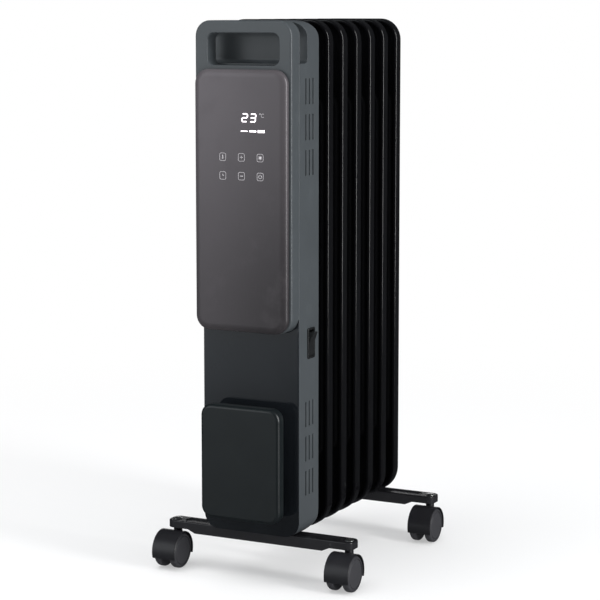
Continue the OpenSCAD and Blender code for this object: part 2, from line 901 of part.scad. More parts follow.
// Inverted channel with shallow ends, deeper between the casters
module bracket(y) {
    color("#121315") difference() {
        union() {
            difference() {
                bracket_body(y, 0);
                translate([0, 0, -bracket_t]) bracket_body(y, bracket_t);
                block(0, bracket_l - 2 * bracket_r,
                    y - bracket_w / 2 + bracket_t, y + bracket_w / 2 - bracket_t,
                    bracket_mid_z - cut, bracket_end_z);
            }
            for (s = [-1, 1])
                translate([s * stem_x, at(y), bracket_end_z + seat_foot])
                    cylinder(r = seat_r, h = bracket_end_h - seat_foot - eps);
        }
        for (s = [-1, 1]) {
            translate([s * stem_x, at(y), bracket_mid_z]) cylinder(r = stem_r, h = bracket_mid_h + cut);
            translate([s * bolt_x, at(y), bracket_mid_z]) cylinder(r = bolt_r, h = bracket_mid_h + cut);
        }
    }
}

module bracket_body(y, inset) {
    w = bracket_l / 2 - inset;
    intersection() {
        translate([0, at(y), bracket_mid_z - cut]) linear_extrude(bracket_mid_h + cut)
            rounded(bracket_l - 2 * inset, bracket_w - 2 * inset, bracket_r - inset);
        translate([0, at(y + bracket_w), 0]) rotate([90, 0, 0]) linear_extrude(2 * bracket_w)
            polygon([[-w, bracket_end_z], [-deep_half - ramp, bracket_end_z], [-deep_half, bracket_mid_z],
                [deep_half, bracket_mid_z], [deep_half + ramp, bracket_end_z], [w, bracket_end_z],
                [w, bracket_top], [-w, bracket_top]]);
    }
}

// Hook bolt over the lower header, down through the bracket
module u_bolt(y) {
    leg_end = bracket_mid_z + bolt_over;
    translate([0, at(y), low_z]) {
        rotate([90, 0, 0]) rotate_extrude(angle = 180) translate([bolt_x, 0]) circle(bolt_r);
        for (s = [-1, 1])
            translate([s * bolt_x, 0, leg_end - low_z]) cylinder(r = bolt_r, h = low_z - leg_end);
    }
}

module u_bolts() {
    color("silver") {
        u_bolt(front_bracket_y);
        u_bolt(rear_bracket_y);
    }
}

module wing_nuts() {
    top = bracket_top - bracket_t;
    color("silver") for (y = [front_bracket_y, rear_bracket_y], s = [-1, 1])
        translate([s * bolt_x, at(y), top - nut_h]) difference() {
            union() {
                cylinder(r = nut_r, h = nut_h);
                translate([-wing_l / 2, -wing_t / 2, 0]) cube([wing_l, wing_t, wing_h]);
            }
            translate([0, 0, -cut]) cylinder(r = bolt_r, h = nut_h + 2 * cut);
        }
}

// ---------- fasteners ----------

// Screw along Y with its head at y, and its shank to the front (side 1) or the rear (side -1)
module screw_y(x, z, y, l, side) {
    tip = y - side * l;
    head = y + side * screw_head_t;
    bar_y(x, z, screw_r, min(y, tip), max(y, tip));
    bar_y(x, z, screw_head_r, min(y, head), max(y, head));
}

module housing_screws() {
    color("#3c3c3e") for (s = [-1, 1], z = lug_z)
        screw_y(s * lug_x, z, lug_y + seam + lug_t, housing_screw_l, 1);
}

module board_screws() {
    color("silver") for (s = [-1, 1], z = [-1, 1])
        screw_y(s * post_x, board_z + z * post_z, board_y, board_screw_l, -1);
}

module cord_neck_screws() {
    color("silver") for (s = [-1, 1])
        screw_y(s * neck_w / 4, reel_mid, wall, neck_screw_l, 1);
}

// ---------- casters ----------

module caster_stems() {
    foot = wheel_r + stem_foot;
    color("silver") for (s = [-1, 1], y = [front_bracket_y, rear_bracket_y])
        translate([s * stem_x, at(y), 0]) {
            translate([0, 0, foot]) cylinder(r = stem_r, h = bracket_top - foot);
            translate([0, 0, boss_top + collar_gap])
                cylinder(r = collar_r, h = bracket_end_z + seat_foot - boss_top - collar_gap);
            translate([0, 0, bracket_top]) cylinder(r1 = rivet_r, r2 = rivet_top_r, h = rivet_h);
        }
}

// Hood: a core between the wheels, a curved cover over them and a boss for the stem
module hood(x, y) {
    wy = y - trail;
    color("#1c1d20") difference() {
        union() {
            intersection() {
                union() {
                    difference() {
                        bar_x(wy, wheel_r, hood_r, x - hood_w / 2, x + hood_w / 2);
                        bar_x(wy, wheel_r, hood_r - hood_t, x - hood_w / 2 - cut, x + hood_w / 2 + cut);
                    }
                    bar_x(wy, wheel_r, hood_r - hood_t / 2, x - caster_core / 2, x + caster_core / 2);
                }
                block(x, hood_w + 2 * cut, wy - 2 * hood_r, wy + 2 * hood_r, hood_skirt, 3 * hood_r);
            }
            translate([x, at(y), wheel_r + boss_foot])
                cylinder(r = collar_r, h = boss_top - wheel_r - boss_foot);
        }
        translate([x, at(y), wheel_r + stem_foot - socket_gap])
            cylinder(r = stem_r + running, h = 2 * hood_r);
        bar_x(wy, wheel_r, axle_r, x - hood_w, x + hood_w);
    }
}

// Wheel beside the core, on the left (side -1) or the right (side 1), with a ring groove in its face
module wheel(x, y, side) {
    inner = caster_core / 2 + wheel_side;
    outer = hood_w / 2 - wheel_face;
    color("#26272a") translate([x, at(y - trail), wheel_r]) rotate([0, side * 90, 0]) difference() {
        translate([0, 0, inner]) cylinder(r = wheel_r, h = outer - inner);
        translate([0, 0, outer - groove_deep]) difference() {
            cylinder(r = wheel_r - groove_out, h = groove_deep + cut);
            translate([0, 0, -cut])
                cylinder(r = wheel_r - groove_out - groove_w, h = groove_deep + 3 * cut);
        }
        translate([0, 0, inner - cut])
            cylinder(r = axle_r + running, h = axle_half + running - inner + cut);
    }
}

module axle(x, y) {
    color("silver") bar_x(y - trail, wheel_r, axle_r, x - axle_half, x + axle_half);
}

fin(1);  // fin_1
fin(2);  // fin_2
fin(3);  // fin_3
fin(4);  // fin_4
fin(5);  // fin_5
fin(6);  // fin_6
fin(7);  // fin_7
upper_header();
lower_header();
filler_plug();
element_flange();
heating_elements();
control_housing();
handle_back();
fascia();
front_plate();
rear_shell();
heat_shield();
display_board();
display_module();
touch_springs();
power_board();
power_relays();
transformer();
board_standoffs();
terminal_block();
thermal_cutout();
air_sensor();
tilt_switch_body();
tilt_pendulum();
switch_bezel();
power_rocker();
cord_neck();
cord_flange_inner();
cord_flange_cover();
cord_gland();
bracket(front_bracket_y);  // front_bracket
bracket(rear_bracket_y);  // rear_bracket
u_bolts();
wing_nuts();
housing_screws();
board_screws();
cord_neck_screws();
caster_stems();
hood(-stem_x, front_bracket_y);  // hood_front_left
hood(stem_x, front_bracket_y);  // hood_front_right
hood(-stem_x, rear_bracket_y);  // hood_rear_left
hood(stem_x, rear_bracket_y);  // hood_rear_right
wheel(-stem_x, front_bracket_y, -1);  // wheel_front_left_a
wheel(-stem_x, front_bracket_y, 1);  // wheel_front_left_b
wheel(stem_x, front_bracket_y, -1);  // wheel_front_right_a
wheel(stem_x, front_bracket_y, 1);  // wheel_front_right_b
wheel(-stem_x, rear_bracket_y, -1);  // wheel_rear_left_a
wheel(-stem_x, rear_bracket_y, 1);  // wheel_rear_left_b
wheel(stem_x, rear_bracket_y, -1);  // wheel_rear_right_a
wheel(stem_x, rear_bracket_y, 1);  // wheel_rear_right_b
axle(-stem_x, front_bracket_y);  // axle_front_left
axle(stem_x, front_bracket_y);  // axle_front_right
axle(-stem_x, rear_bracket_y);  // axle_rear_left
axle(stem_x, rear_bracket_y);  // axle_rear_right
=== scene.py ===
"""Oil filled radiator heater: finished surfaces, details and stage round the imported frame."""
import json
import math

import bmesh
import bpy
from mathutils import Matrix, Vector


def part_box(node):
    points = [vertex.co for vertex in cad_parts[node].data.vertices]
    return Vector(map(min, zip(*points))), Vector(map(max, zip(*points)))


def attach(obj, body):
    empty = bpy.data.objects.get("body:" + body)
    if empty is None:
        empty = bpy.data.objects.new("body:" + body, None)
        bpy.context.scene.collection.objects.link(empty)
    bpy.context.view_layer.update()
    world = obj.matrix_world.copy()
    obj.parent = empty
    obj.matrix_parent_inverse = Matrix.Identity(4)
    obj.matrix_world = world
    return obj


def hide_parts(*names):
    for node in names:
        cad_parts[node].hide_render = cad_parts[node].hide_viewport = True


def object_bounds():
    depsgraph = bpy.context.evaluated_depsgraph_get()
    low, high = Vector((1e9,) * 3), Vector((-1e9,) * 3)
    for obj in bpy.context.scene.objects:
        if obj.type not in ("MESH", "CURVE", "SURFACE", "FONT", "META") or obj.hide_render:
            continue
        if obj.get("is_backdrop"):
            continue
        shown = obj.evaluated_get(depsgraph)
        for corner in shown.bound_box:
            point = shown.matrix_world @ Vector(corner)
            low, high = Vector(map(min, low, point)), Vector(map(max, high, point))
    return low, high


bl_info = {
    "name": "Oil Radiator Heater",
    "version": (1, 0, 0),
    "blender": (4, 5, 0),
    "location": "View3D > Sidebar > Heater",
    "description": "Builds the finished surfaces of an oil filled radiator heater",
    "category": "Object",
}

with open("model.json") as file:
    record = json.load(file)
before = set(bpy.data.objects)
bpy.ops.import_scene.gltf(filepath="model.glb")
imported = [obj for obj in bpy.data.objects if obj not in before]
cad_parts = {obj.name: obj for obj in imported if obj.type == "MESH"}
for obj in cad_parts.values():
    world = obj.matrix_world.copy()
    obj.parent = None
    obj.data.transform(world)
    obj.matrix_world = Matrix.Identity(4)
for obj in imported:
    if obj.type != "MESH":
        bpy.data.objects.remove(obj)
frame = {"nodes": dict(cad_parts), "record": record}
CAD_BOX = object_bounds()
MM = 0.001

FIN_TOP_R, FIN_BOTTOM_R = 25 * MM, 32 * MM
FIN_WEB = 0.6 * MM
FASCIA_GAP, FASCIA_STEP = 1.0 * MM, 2.5 * MM
FASCIA_R, FASCIA_FOOT_R = 16 * MM, 13.5 * MM
FLANGE_R = 13 * MM
BRACKET_HALF = 8.5 * MM
STEM_INSET, STEM_R, STEM_COLLAR_R = 4.9 * MM, 3.5 * MM, 4.9 * MM
RIVET_R, RIVET_RISE = 5.2 * MM, 1.3 * MM
ON_AXIS = 0.001 * MM
PROUD, SUNK = 0.06 * MM, 0.3 * MM

CORNERS = [f"{end}_{side}" for end in ("front", "rear") for side in ("left", "right")]
FIN_NODES = sorted(name for name in frame["nodes"] if name.startswith("fin_"))


def place(node):
    """Lowest corner, highest corner and middle of a CAD node, as vectors."""
    low, high = (Vector(corner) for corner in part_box(node))
    return low, high, (low + high) / 2


# ---------- sizes and colours a user would change ----------


class HeaterSizes(bpy.types.PropertyGroup):
    """Edge and pressing sizes of the finished pieces"""

    housing_edge: bpy.props.FloatProperty(
        name="Housing edge", description="Rounding of the control housing's front edge",
        default=2.4 * MM, unit="LENGTH")
    hole_edge: bpy.props.FloatProperty(
        name="Hand hole edge", description="Rounding round the hand hole",
        default=1.2 * MM, unit="LENGTH")
    fascia_edge: bpy.props.FloatProperty(
        name="Fascia edge", description="Depth of the pillow edge of the fascia",
        default=5.0 * MM, unit="LENGTH")
    flange_edge: bpy.props.FloatProperty(
        name="Flange edge", description="Rounding of the cord wrap's outer edge",
        default=4.0 * MM, unit="LENGTH")
    rim_edge: bpy.props.FloatProperty(
        name="Fin rim edge", description="Bend radius where a fin's rim folds over",
        default=1.7 * MM, unit="LENGTH")
    rim_sheet: bpy.props.FloatProperty(
        name="Fin sheet", description="Thickness of the folded rim", default=1.2 * MM, unit="LENGTH")
    lip: bpy.props.FloatProperty(
        name="Fin lip", description="Length of the lip folded in behind the rim",
        default=3.4 * MM, unit="LENGTH")
    channel_width: bpy.props.FloatProperty(
        name="Channel width", description="Width of each pressed oil channel",
        default=25 * MM, unit="LENGTH")
    wheel_edge: bpy.props.FloatProperty(
        name="Wheel edge", description="Rounding of the wheel's tread", default=2.8 * MM, unit="LENGTH")


class HeaterColours(bpy.types.PropertyGroup):
    """Base colours of the main finishes"""

    enamel: bpy.props.FloatVectorProperty(
        name="Enamel", description="Stoved enamel of the fins and brackets", subtype="COLOR",
        size=3, min=0, max=1, default=(0.0025, 0.0025, 0.003))
    housing: bpy.props.FloatVectorProperty(
        name="Housing", description="Moulded housing", subtype="COLOR",
        size=3, min=0, max=1, default=(0.05, 0.057, 0.062))
    gloss: bpy.props.FloatVectorProperty(
        name="Front plate", description="Gloss front plate", subtype="COLOR",
        size=3, min=0, max=1, default=(0.008, 0.0095, 0.0115))
    fascia: bpy.props.FloatVectorProperty(
        name="Fascia", description="Satin film of the touch panel", subtype="COLOR",
        size=3, min=0, max=1, default=(0.075, 0.068, 0.074))
    flange: bpy.props.FloatVectorProperty(
        name="Cord wrap", description="Cord wrap mouldings", subtype="COLOR",
        size=3, min=0, max=1, default=(0.006, 0.0085, 0.0095))
    caster: bpy.props.FloatVectorProperty(
        name="Caster hood", description="Nylon of the caster hoods", subtype="COLOR",
        size=3, min=0, max=1, default=(0.0105, 0.0105, 0.0125))
    wheel: bpy.props.FloatVectorProperty(
        name="Wheel", description="Nylon of the wheels", subtype="COLOR",
        size=3, min=0, max=1, default=(0.036, 0.036, 0.04))
    lamp: bpy.props.FloatVectorProperty(
        name="Display light", description="Light of the digits", subtype="COLOR",
        size=3, min=0, max=1, default=(1.0, 0.93, 0.98))


def sizes():
    return bpy.context.scene.heater_sizes


def colours():
    return bpy.context.scene.heater_colours


# ---------- shader maths ----------


class Wire:
    """A shader value that can be used in ordinary arithmetic."""

    def __init__(self, finish, socket):
        self.finish = finish
        self.socket = socket

    def _with(self, operation, left, right):
        return self.finish.out("ShaderNodeMath", {"operation": operation}, {0: left, 1: right})

    def __add__(self, other):
        return self._with("ADD", self, other)

    def __sub__(self, other):
        return self._with("SUBTRACT", self, other)

    def __rsub__(self, other):
        return self._with("SUBTRACT", other, self)

    def __mul__(self, other):
        return self._with("MULTIPLY", self, other)

    __radd__ = __add__
    __rmul__ = __mul__


class Finish:
    """One material: a Principled surface and the nodes that feed it."""

    def __init__(self, name):
        self.material = bpy.data.materials.new(name)
        self.material.use_nodes = True
        self.tree = self.material.node_tree
        self.surface = self.tree.nodes["Principled BSDF"]
        self.place = self.out("ShaderNodeTexCoord", output="Object")

    def node(self, kind, settings=None, inputs=None):
        made = self.tree.nodes.new(kind)
        for key, value in (settings or {}).items():
            setattr(made, key, value)
        for key, value in (inputs or {}).items():
            self.feed(made.inputs[key], value)
        return made

    def feed(self, socket, value):
        if isinstance(value, Wire):
            self.tree.links.new(value.socket, socket)
        elif socket.type == "RGBA" and len(value) == 3:
            socket.default_value = (*value, 1)
        else:
            socket.default_value = value

    def out(self, kind, settings=None, inputs=None, output=0):
        return Wire(self, self.node(kind, settings, inputs).outputs[output])

    def stretched(self, scale):
        return self.out("ShaderNodeMapping", None, {"Vector": self.place, "Scale": scale})

    def noise(self, scale, detail=2.0, rough=0.5, vector=None):
        inputs = {"Vector": vector or self.place, "Scale": scale, "Detail": detail, "Roughness": rough}
        return self.out("ShaderNodeTexNoise", None, inputs)

    def cells(self, scale):
        return self.out("ShaderNodeTexVoronoi", None, {"Vector": self.place, "Scale": scale})

    def between(self, value, low, high, to_low=0.0, to_high=1.0):
        inputs = {0: value, 1: low, 2: high, 3: to_low, 4: to_high}
        return self.out("ShaderNodeMapRange", {"interpolation_type": "SMOOTHSTEP"}, inputs)

    def axis(self, name):
        return self.out("ShaderNodeSeparateXYZ", None, {0: self.place}, output=name)

    def blend(self, factor, first, second):
        made = self.node("ShaderNodeMix", {"data_type": "RGBA"})
        sockets = {"Factor": factor, "A": first, "B": second}
        for socket in made.inputs:
            if socket.enabled and socket.name in sockets:
                self.feed(socket, sockets[socket.name])
        return Wire(self, next(o for o in made.outputs if o.enabled and o.name == "Result"))

    def bump(self, height, depth):
        return self.out("ShaderNodeBump", None, {"Height": height, "Distance": depth})

    def set(self, **values):
        for key, value in values.items():
            self.feed(self.surface.inputs[key.replace("_", " ")], value)
        return self.material


def lighter(colour, by):
    return tuple(min(1.0, part * by) for part in colour)


FINISHES = {}


def finish(slot):
    """The material of a record slot, made once."""
    if slot not in FINISHES:
        FINISHES[slot] = MAKERS[slot](slot)
    return FINISHES[slot]


def moulded(slot, colour, rough, grain=0.9 * MM, depth=0.012 * MM, dust=1.35):
    """Injection moulding: spark-eroded grain, slow colour drift and handling marks."""
    made = Finish(slot)
    drift = made.noise(26, 3)
    fine = made.noise(1 / grain, 3, 0.6)
    marks = made.between(made.noise(60, 5, 0.65), 0.52, 0.7)
    base = made.blend(drift * 0.6 + marks * 0.3, colour, lighter(colour, dust))
    return made.set(Base_Color=base, Roughness=rough + marks * 0.06 + (fine - 0.5) * 0.05,
                    Normal=made.bump(fine, depth))


def enamel_black(slot):
    """Glossy stoved enamel with orange peel and a little settled dust."""
    made = Finish(slot)
    colour = tuple(colours().enamel)
    peel = made.noise(260, 2)
    drift = made.noise(14, 4, 0.6)
    dust = made.between(made.noise(60, 5, 0.6), 0.5, 0.8)
    clean = made.blend(drift * 0.5 + dust * 0.35, colour, lighter(colour, 2.2))
    near_floor = made.between(made.axis("Z"), 57 * MM, 50 * MM, 0.0, 0.6)
    base = made.blend(near_floor + near_floor * dust * 0.3, clean, (0.026, 0.026, 0.029))
    return made.set(Base_Color=base, Roughness=0.12 + drift * 0.06 + dust * 0.05 + near_floor * 0.15,
                    Normal=made.bump(peel, 0.012 * MM), Specular_IOR_Level=0.42)


def housing_black(slot):
    return moulded(slot, tuple(colours().housing), 0.36, depth=0.008 * MM)


def front_gloss(slot):
    """Piano gloss with faint wiping haze, and painted light: lighter at the top left, darker towards the
    bottom right.
    """
    made = Finish(slot)
    colour = tuple(colours().gloss)
    low, high, _ = place("front_plate")
    haze = made.between(made.noise(9, 5, 0.6, made.stretched((1, 1, 0.35))), 0.42, 0.75)
    wave = made.noise(60, 1)
    # painted light and shade: rise and left blend the base colour from dark at the bottom right to light
    # at the top left
    rise = made.between(made.axis("Z"), low.z, high.z)
    left = made.between(made.axis("X"), high.x, low.x)
    tone = made.blend(rise * 0.6 + left * 0.4, lighter(colour, 0.5), lighter(colour, 1.6))
    base = made.blend(haze * 0.5, tone, lighter(colour, 1.8))
    return made.set(Base_Color=base, Roughness=0.03 + haze * 0.05, Normal=made.bump(wave, 0.004 * MM))


def fascia_satin(slot):
    """Satin film on the touch panel, with a fine vertical silk and soft touch marks, and painted light:
    lighter at the top left, darker towards the bottom right.
    """
    made = Finish(slot)
    colour = tuple(colours().fascia)
    silk = made.noise(900, 2, 0.5, made.stretched((1, 1, 0.12)))
    low, high, _ = place("fascia")
    # painted light and shade: rise and left blend the base colour from dark at the bottom right to light
    # at the top left
    rise = made.between(made.axis("Z"), low.z, high.z)
    left = made.between(made.axis("X"), high.x, low.x)
    marks = made.between(made.noise(38, 4, 0.6), 0.5, 0.75)
    tone = made.blend(rise * 0.65 + left * 0.35, lighter(colour, 0.4), lighter(colour, 1.65))
    base = made.blend(marks * 0.25 + silk * 0.15, tone, lighter(colour, 1.3))
    return made.set(Base_Color=base, Roughness=0.36 + silk * 0.05 + marks * 0.05, Metallic=0.25,
                    Normal=made.bump(silk, 0.006 * MM))


def wrap_black(slot):
    return moulded(slot, tuple(colours().flange), 0.34, grain=0.7 * MM, depth=0.006 * MM, dust=1.5)


def caster_black(slot):
    return moulded(slot, tuple(colours().caster), 0.4, grain=1.2 * MM, depth=0.02 * MM, dust=1.9)


def caster_wheel(slot):
    """Rolled nylon: rubbed tread, scuffs and floor dust."""
    made = Finish(slot)
    colour = tuple(colours().wheel)
    scuff = made.between(made.noise(240, 6, 0.7), 0.55, 0.72)
    drift = made.noise(45, 3)
    base = made.blend(scuff * 0.5 + drift * 0.3, colour, lighter(colour, 1.8))
    return made.set(Base_Color=base, Roughness=0.4 + scuff * 0.15, Normal=made.bump(scuff, 0.03 * MM))


def plated(slot, colour, rough, spangle=220):
    """Plated or bare metal with a faint spangle and drawn lines."""
    made = Finish(slot)
    flakes = made.cells(spangle)
    drift = made.noise(70, 4, 0.6)
    drawn = made.noise(1400, 2, 0.5, made.stretched((1, 1, 0.1)))
    base = made.blend(drift * 0.6 + flakes * 0.3, colour, lighter(colour, 0.7))
    return made.set(Base_Color=base, Roughness=rough + drift * 0.12 + drawn * 0.05, Metallic=1.0,
                    Normal=made.bump(drawn + flakes * 0.3, 0.01 * MM))


def zinc(slot):
    return plated(slot, (0.6, 0.61, 0.6), 0.26)


def black_screw(slot):
    return plated(slot, (0.05, 0.05, 0.055), 0.36, 500)


def spring_steel(slot):
    return plated(slot, (0.5, 0.5, 0.49), 0.24, 600)


def element_sheath(slot):
    """Sheath tinted by heat along its length."""
    made = Finish(slot)
    tint = made.between(made.noise(30, 4, 0.6), 0.35, 0.7)
    drawn = made.noise(900, 2, 0.5, made.stretched((1, 0.1, 1)))
    base = made.blend(tint, (0.42, 0.39, 0.35), (0.3, 0.19, 0.11))
    return made.set(Base_Color=base, Roughness=0.34 + drawn * 0.1, Metallic=1.0,
                    Normal=made.bump(drawn, 0.01 * MM))


def board_green(slot):
    """Solder mask over copper tracks."""
    made = Finish(slot)
    tracks = made.out("ShaderNodeTexBrick", {"offset": 0.5},
                      {"Vector": made.stretched((1, 0.001, 1)), "Scale": 60, "Mortar Size": 0.02,
                       "Color1": (1, 1, 1), "Color2": (0.6, 0.6, 0.6), "Mortar": (0, 0, 0)}, "Fac")
    weave = made.noise(1500, 2)
    base = made.blend(tracks, (0.012, 0.1, 0.035), (0.03, 0.19, 0.07))
    return made.set(Base_Color=base, Roughness=0.3 + weave * 0.1, Normal=made.bump(tracks, 0.03 * MM))


def display_black(slot):
    return moulded(slot, (0.012, 0.012, 0.013), 0.18, depth=0.003 * MM)


def relay_blue(slot):
    return moulded(slot, (0.02, 0.06, 0.2), 0.35, depth=0.01 * MM)


def transformer_copper(slot):
    """Laminated core and enamelled winding."""
    made = Finish(slot)
    layers = made.out("ShaderNodeTexWave", {"bands_direction": "X"},
                      {"Vector": made.place, "Scale": 320, "Distortion": 0.4}, "Fac")
    base = made.blend(layers, (0.38, 0.2, 0.07), (0.5, 0.33, 0.13))
    return made.set(Base_Color=base, Roughness=0.36 + layers * 0.12, Metallic=0.8,
                    Normal=made.bump(layers, 0.06 * MM))


def nylon_white(slot):
    return moulded(slot, (0.62, 0.61, 0.56), 0.42, depth=0.01 * MM, dust=0.9)


def sensor_grey(slot):
    return moulded(slot, (0.12, 0.12, 0.12), 0.45, depth=0.015 * MM)


def switch_black(slot):
    return moulded(slot, (0.01, 0.0105, 0.011), 0.2, grain=0.8 * MM, depth=0.003 * MM)


def gland_black(slot):
    return moulded(slot, (0.013, 0.013, 0.013), 0.5, depth=0.015 * MM)


def display_light(slot):
    """Backlit windows in the film, brighter and dimmer in fine random patches."""
    made = Finish(slot)
    lamp = tuple(colours().lamp)
    glow = made.between(made.noise(700, 2), 0.3, 0.7, 0.85, 1.0)
    shade = made.blend(glow, lighter(lamp, 0.8), lamp)
    return made.set(Base_Color=shade, Emission_Color=shade, Emission_Strength=1.6,
                    Roughness=0.4 + glow * 0.05)


def printed_grey(slot):
    """Pale print of the key symbols, with a faint glow of painted light."""
    made = Finish(slot)
    wear = made.between(made.noise(900, 3), 0.35, 0.75)
    shade = made.blend(wear, (0.5, 0.48, 0.5), (0.34, 0.33, 0.34))
    # the print glows faintly: painted light that keeps the symbols pale
    return made.set(Base_Color=shade, Emission_Color=shade, Emission_Strength=0.35,
                    Roughness=0.45 + wear * 0.1, Normal=made.bump(wear, 0.004 * MM))


MAKERS = {maker.__name__: maker for maker in (
    enamel_black, housing_black, front_gloss, fascia_satin, wrap_black, caster_black, caster_wheel, zinc,
    black_screw, element_sheath, board_green, display_black, spring_steel, relay_blue, transformer_copper,
    nylon_white, sensor_grey, switch_black, gland_black, display_light, printed_grey)}


# ---------- mesh making ----------


def arc(centre, radius, start, end, steps):
    """Points along an arc, angles in degrees."""
    angles = [math.radians(start + (end - start) * i / steps) for i in range(steps + 1)]
    return [(centre[0] + radius * math.cos(a), centre[1] + radius * math.sin(a)) for a in angles]


def outline(width, z0, z1, top, bottom=None, inset=0.0, steps=10):
    """Rounded rectangle seen from the front, anticlockwise, with its own top and bottom radii."""
    bottom = top if bottom is None else bottom
    half = width / 2
    top_c, low_c = z1 - top, z0 + bottom
    rt, rb = max(top - inset, 1e-5), max(bottom - inset, 1e-5)
    turns = (((half - bottom, low_c), rb, -90), ((half - top, top_c), rt, 0),
             ((top - half, top_c), rt, 90), ((bottom - half, low_c), rb, 180))
    return [point for centre, radius, start in turns
            for point in arc(centre, radius, start, start + 90, steps)]


def loft(bm, rings, closed=False, caps=True):
    """Quads between neighbouring rings of equal length, and a face at each end."""
    made = [[bm.verts.new(point) for point in ring] for ring in rings]
    pairs = list(zip(made, made[1:]))
    if closed:
        pairs.append((made[-1], made[0]))
    for first, second in pairs:
        for i in range(len(first)):
            j = (i + 1) % len(first)
            bm.faces.new((first[i], first[j], second[j], second[i]))
    if caps and not closed:
        bm.faces.new(made[0][::-1])
        bm.faces.new(made[-1])
    return made


def round_over(radius, steps=5, depth=None):
    """Insets and depths of a rounded edge, from the flat face to the side."""
    depth = depth or radius
    angles = [math.pi / 2 * i / steps for i in range(steps + 1)]
    return [(radius * (1 - math.sin(a)), depth * (1 - math.cos(a))) for a in angles]


def slab_rings(width, z0, z1, corner, y0, y1, front, back, front_depth=None, steps=10):
    """Rings of a slab with rounded front and back edges, front first."""
    levels = [(inset, y0 + depth) for inset, depth in round_over(front, depth=front_depth)]
    levels += [(inset, y1 - depth) for inset, depth in reversed(round_over(back))]
    return [[(x, y, z) for x, z in outline(width, z0, z1, corner, inset=inset, steps=steps)]
            for inset, y in levels]


def lathe(bm, profile, centre, axis, steps=64):
    """Solid of revolution from (distance along the axis, radius) points that start and end on it."""
    turn = axis.to_track_quat("Z", "Y").to_matrix()
    rings = [[centre + turn @ Vector((r * math.cos(a), r * math.sin(a), d))
              for a in (math.tau * i / steps for i in range(steps))] for d, r in profile]
    loft(bm, rings)


def outward(bm):
    bmesh.ops.remove_doubles(bm, verts=bm.verts, dist=1e-7)
    bmesh.ops.recalc_face_normals(bm, faces=bm.faces)


def new_object(name, bm, slot):
    """Object at the origin with smooth faces and its finish."""
    mesh = bpy.data.meshes.new(name)
    bm.to_mesh(mesh)
    bm.free()
    mesh.shade_smooth()
    made = bpy.data.objects.new(name, mesh)
    bpy.context.scene.collection.objects.link(made)
    mesh.materials.append(finish(slot))
    return made


def settle(made):
    """Turns the modifiers' result into the object's own mesh."""
    bpy.context.view_layer.update()
    depsgraph = bpy.context.evaluated_depsgraph_get()
    mesh = bpy.data.meshes.new_from_object(made.evaluated_get(depsgraph), depsgraph=depsgraph)
    made.modifiers.clear()
    made.data = mesh
    return made


def even_normals(made, sharp=50):
    """Keeps flats flat and rounded edges smooth."""
    made.data.set_sharp_from_angle(angle=math.radians(sharp))
    weighted = made.modifiers.new("Normals", "WEIGHTED_NORMAL")
    weighted.keep_sharp = True
    return settle(made)


def welded(node):
    """Copy of a CAD node's mesh with its triangles joined into faces."""
    bm = bmesh.new()
    bm.from_mesh(frame["nodes"][node].data)
    bmesh.ops.remove_doubles(bm, verts=bm.verts, dist=2e-6)
    bmesh.ops.dissolve_limit(bm, angle_limit=math.radians(0.6), verts=bm.verts, edges=bm.edges)
    return bm


def softened(name, node, slot, rule, segments=3, sharp=35, cutters=()):
    """CAD shape, cut, with its sharp edges rounded; rule gives each edge's radius from its middle."""
    made = new_object(name, welded(node), slot)
    for cutter in cutters:
        cut(made, cutter)
    bm = bmesh.new()
    bm.from_mesh(made.data)
    layer = bm.edges.layers.float.new("bevel_weight_edge")
    radii = {}
    for edge in bm.edges:
        if len(edge.link_faces) == 2 and edge.calc_face_angle(0) > math.radians(sharp):
            radii[edge] = rule((edge.verts[0].co + edge.verts[1].co) / 2, edge)
    widest = max(radii.values())
    for edge, radius in radii.items():
        edge[layer] = radius / widest
    bm.to_mesh(made.data)
    bm.free()
    made.data.shade_smooth()
    bevel = made.modifiers.new("Edges", "BEVEL")
    bevel.limit_method = "WEIGHT"
    bevel.width = widest
    bevel.segments = segments
    bevel.use_clamp_overlap = False
    settle(made)
    return even_normals(made)


def cut(made, cutter):
    """Takes the cutter's shape out of a piece."""
    modifier = made.modifiers.new("Cut", "BOOLEAN")
    modifier.operation = "DIFFERENCE"
    modifier.solver = "EXACT"
    modifier.object = cutter
    settle(made)
    bpy.data.objects.remove(cutter)
    return made


def hand_over(made, body, slot, *nodes):
    """Rides a piece on its body in place of CAD nodes."""
    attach(made, body)
    if nodes:
        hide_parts(*nodes)
    return made


# ---------- geometry nodes ----------


def node_group(name, inputs):
    """Empty tree with a geometry input and output and the named inputs."""
    tree = bpy.data.node_groups.new(name, "GeometryNodeTree")
    tree.interface.new_socket("Geometry", in_out="INPUT", socket_type="NodeSocketGeometry")
    tree.interface.new_socket("Geometry", in_out="OUTPUT", socket_type="NodeSocketGeometry")
    for label, kind in inputs:
        tree.interface.new_socket(label, in_out="INPUT", socket_type=kind)
    source = tree.nodes.new("NodeGroupInput")
    sink = tree.nodes.new("NodeGroupOutput")
    return tree, source, sink


def add_node(tree, kind, links=None, **settings):
    made = tree.nodes.new(kind)
    for key, value in settings.items():
        setattr(made, key, value)
    for key, value in (links or {}).items():
        if isinstance(value, bpy.types.NodeSocket):
            tree.links.new(value, made.inputs[key])
        else:
            made.inputs[key].default_value = value
    return made


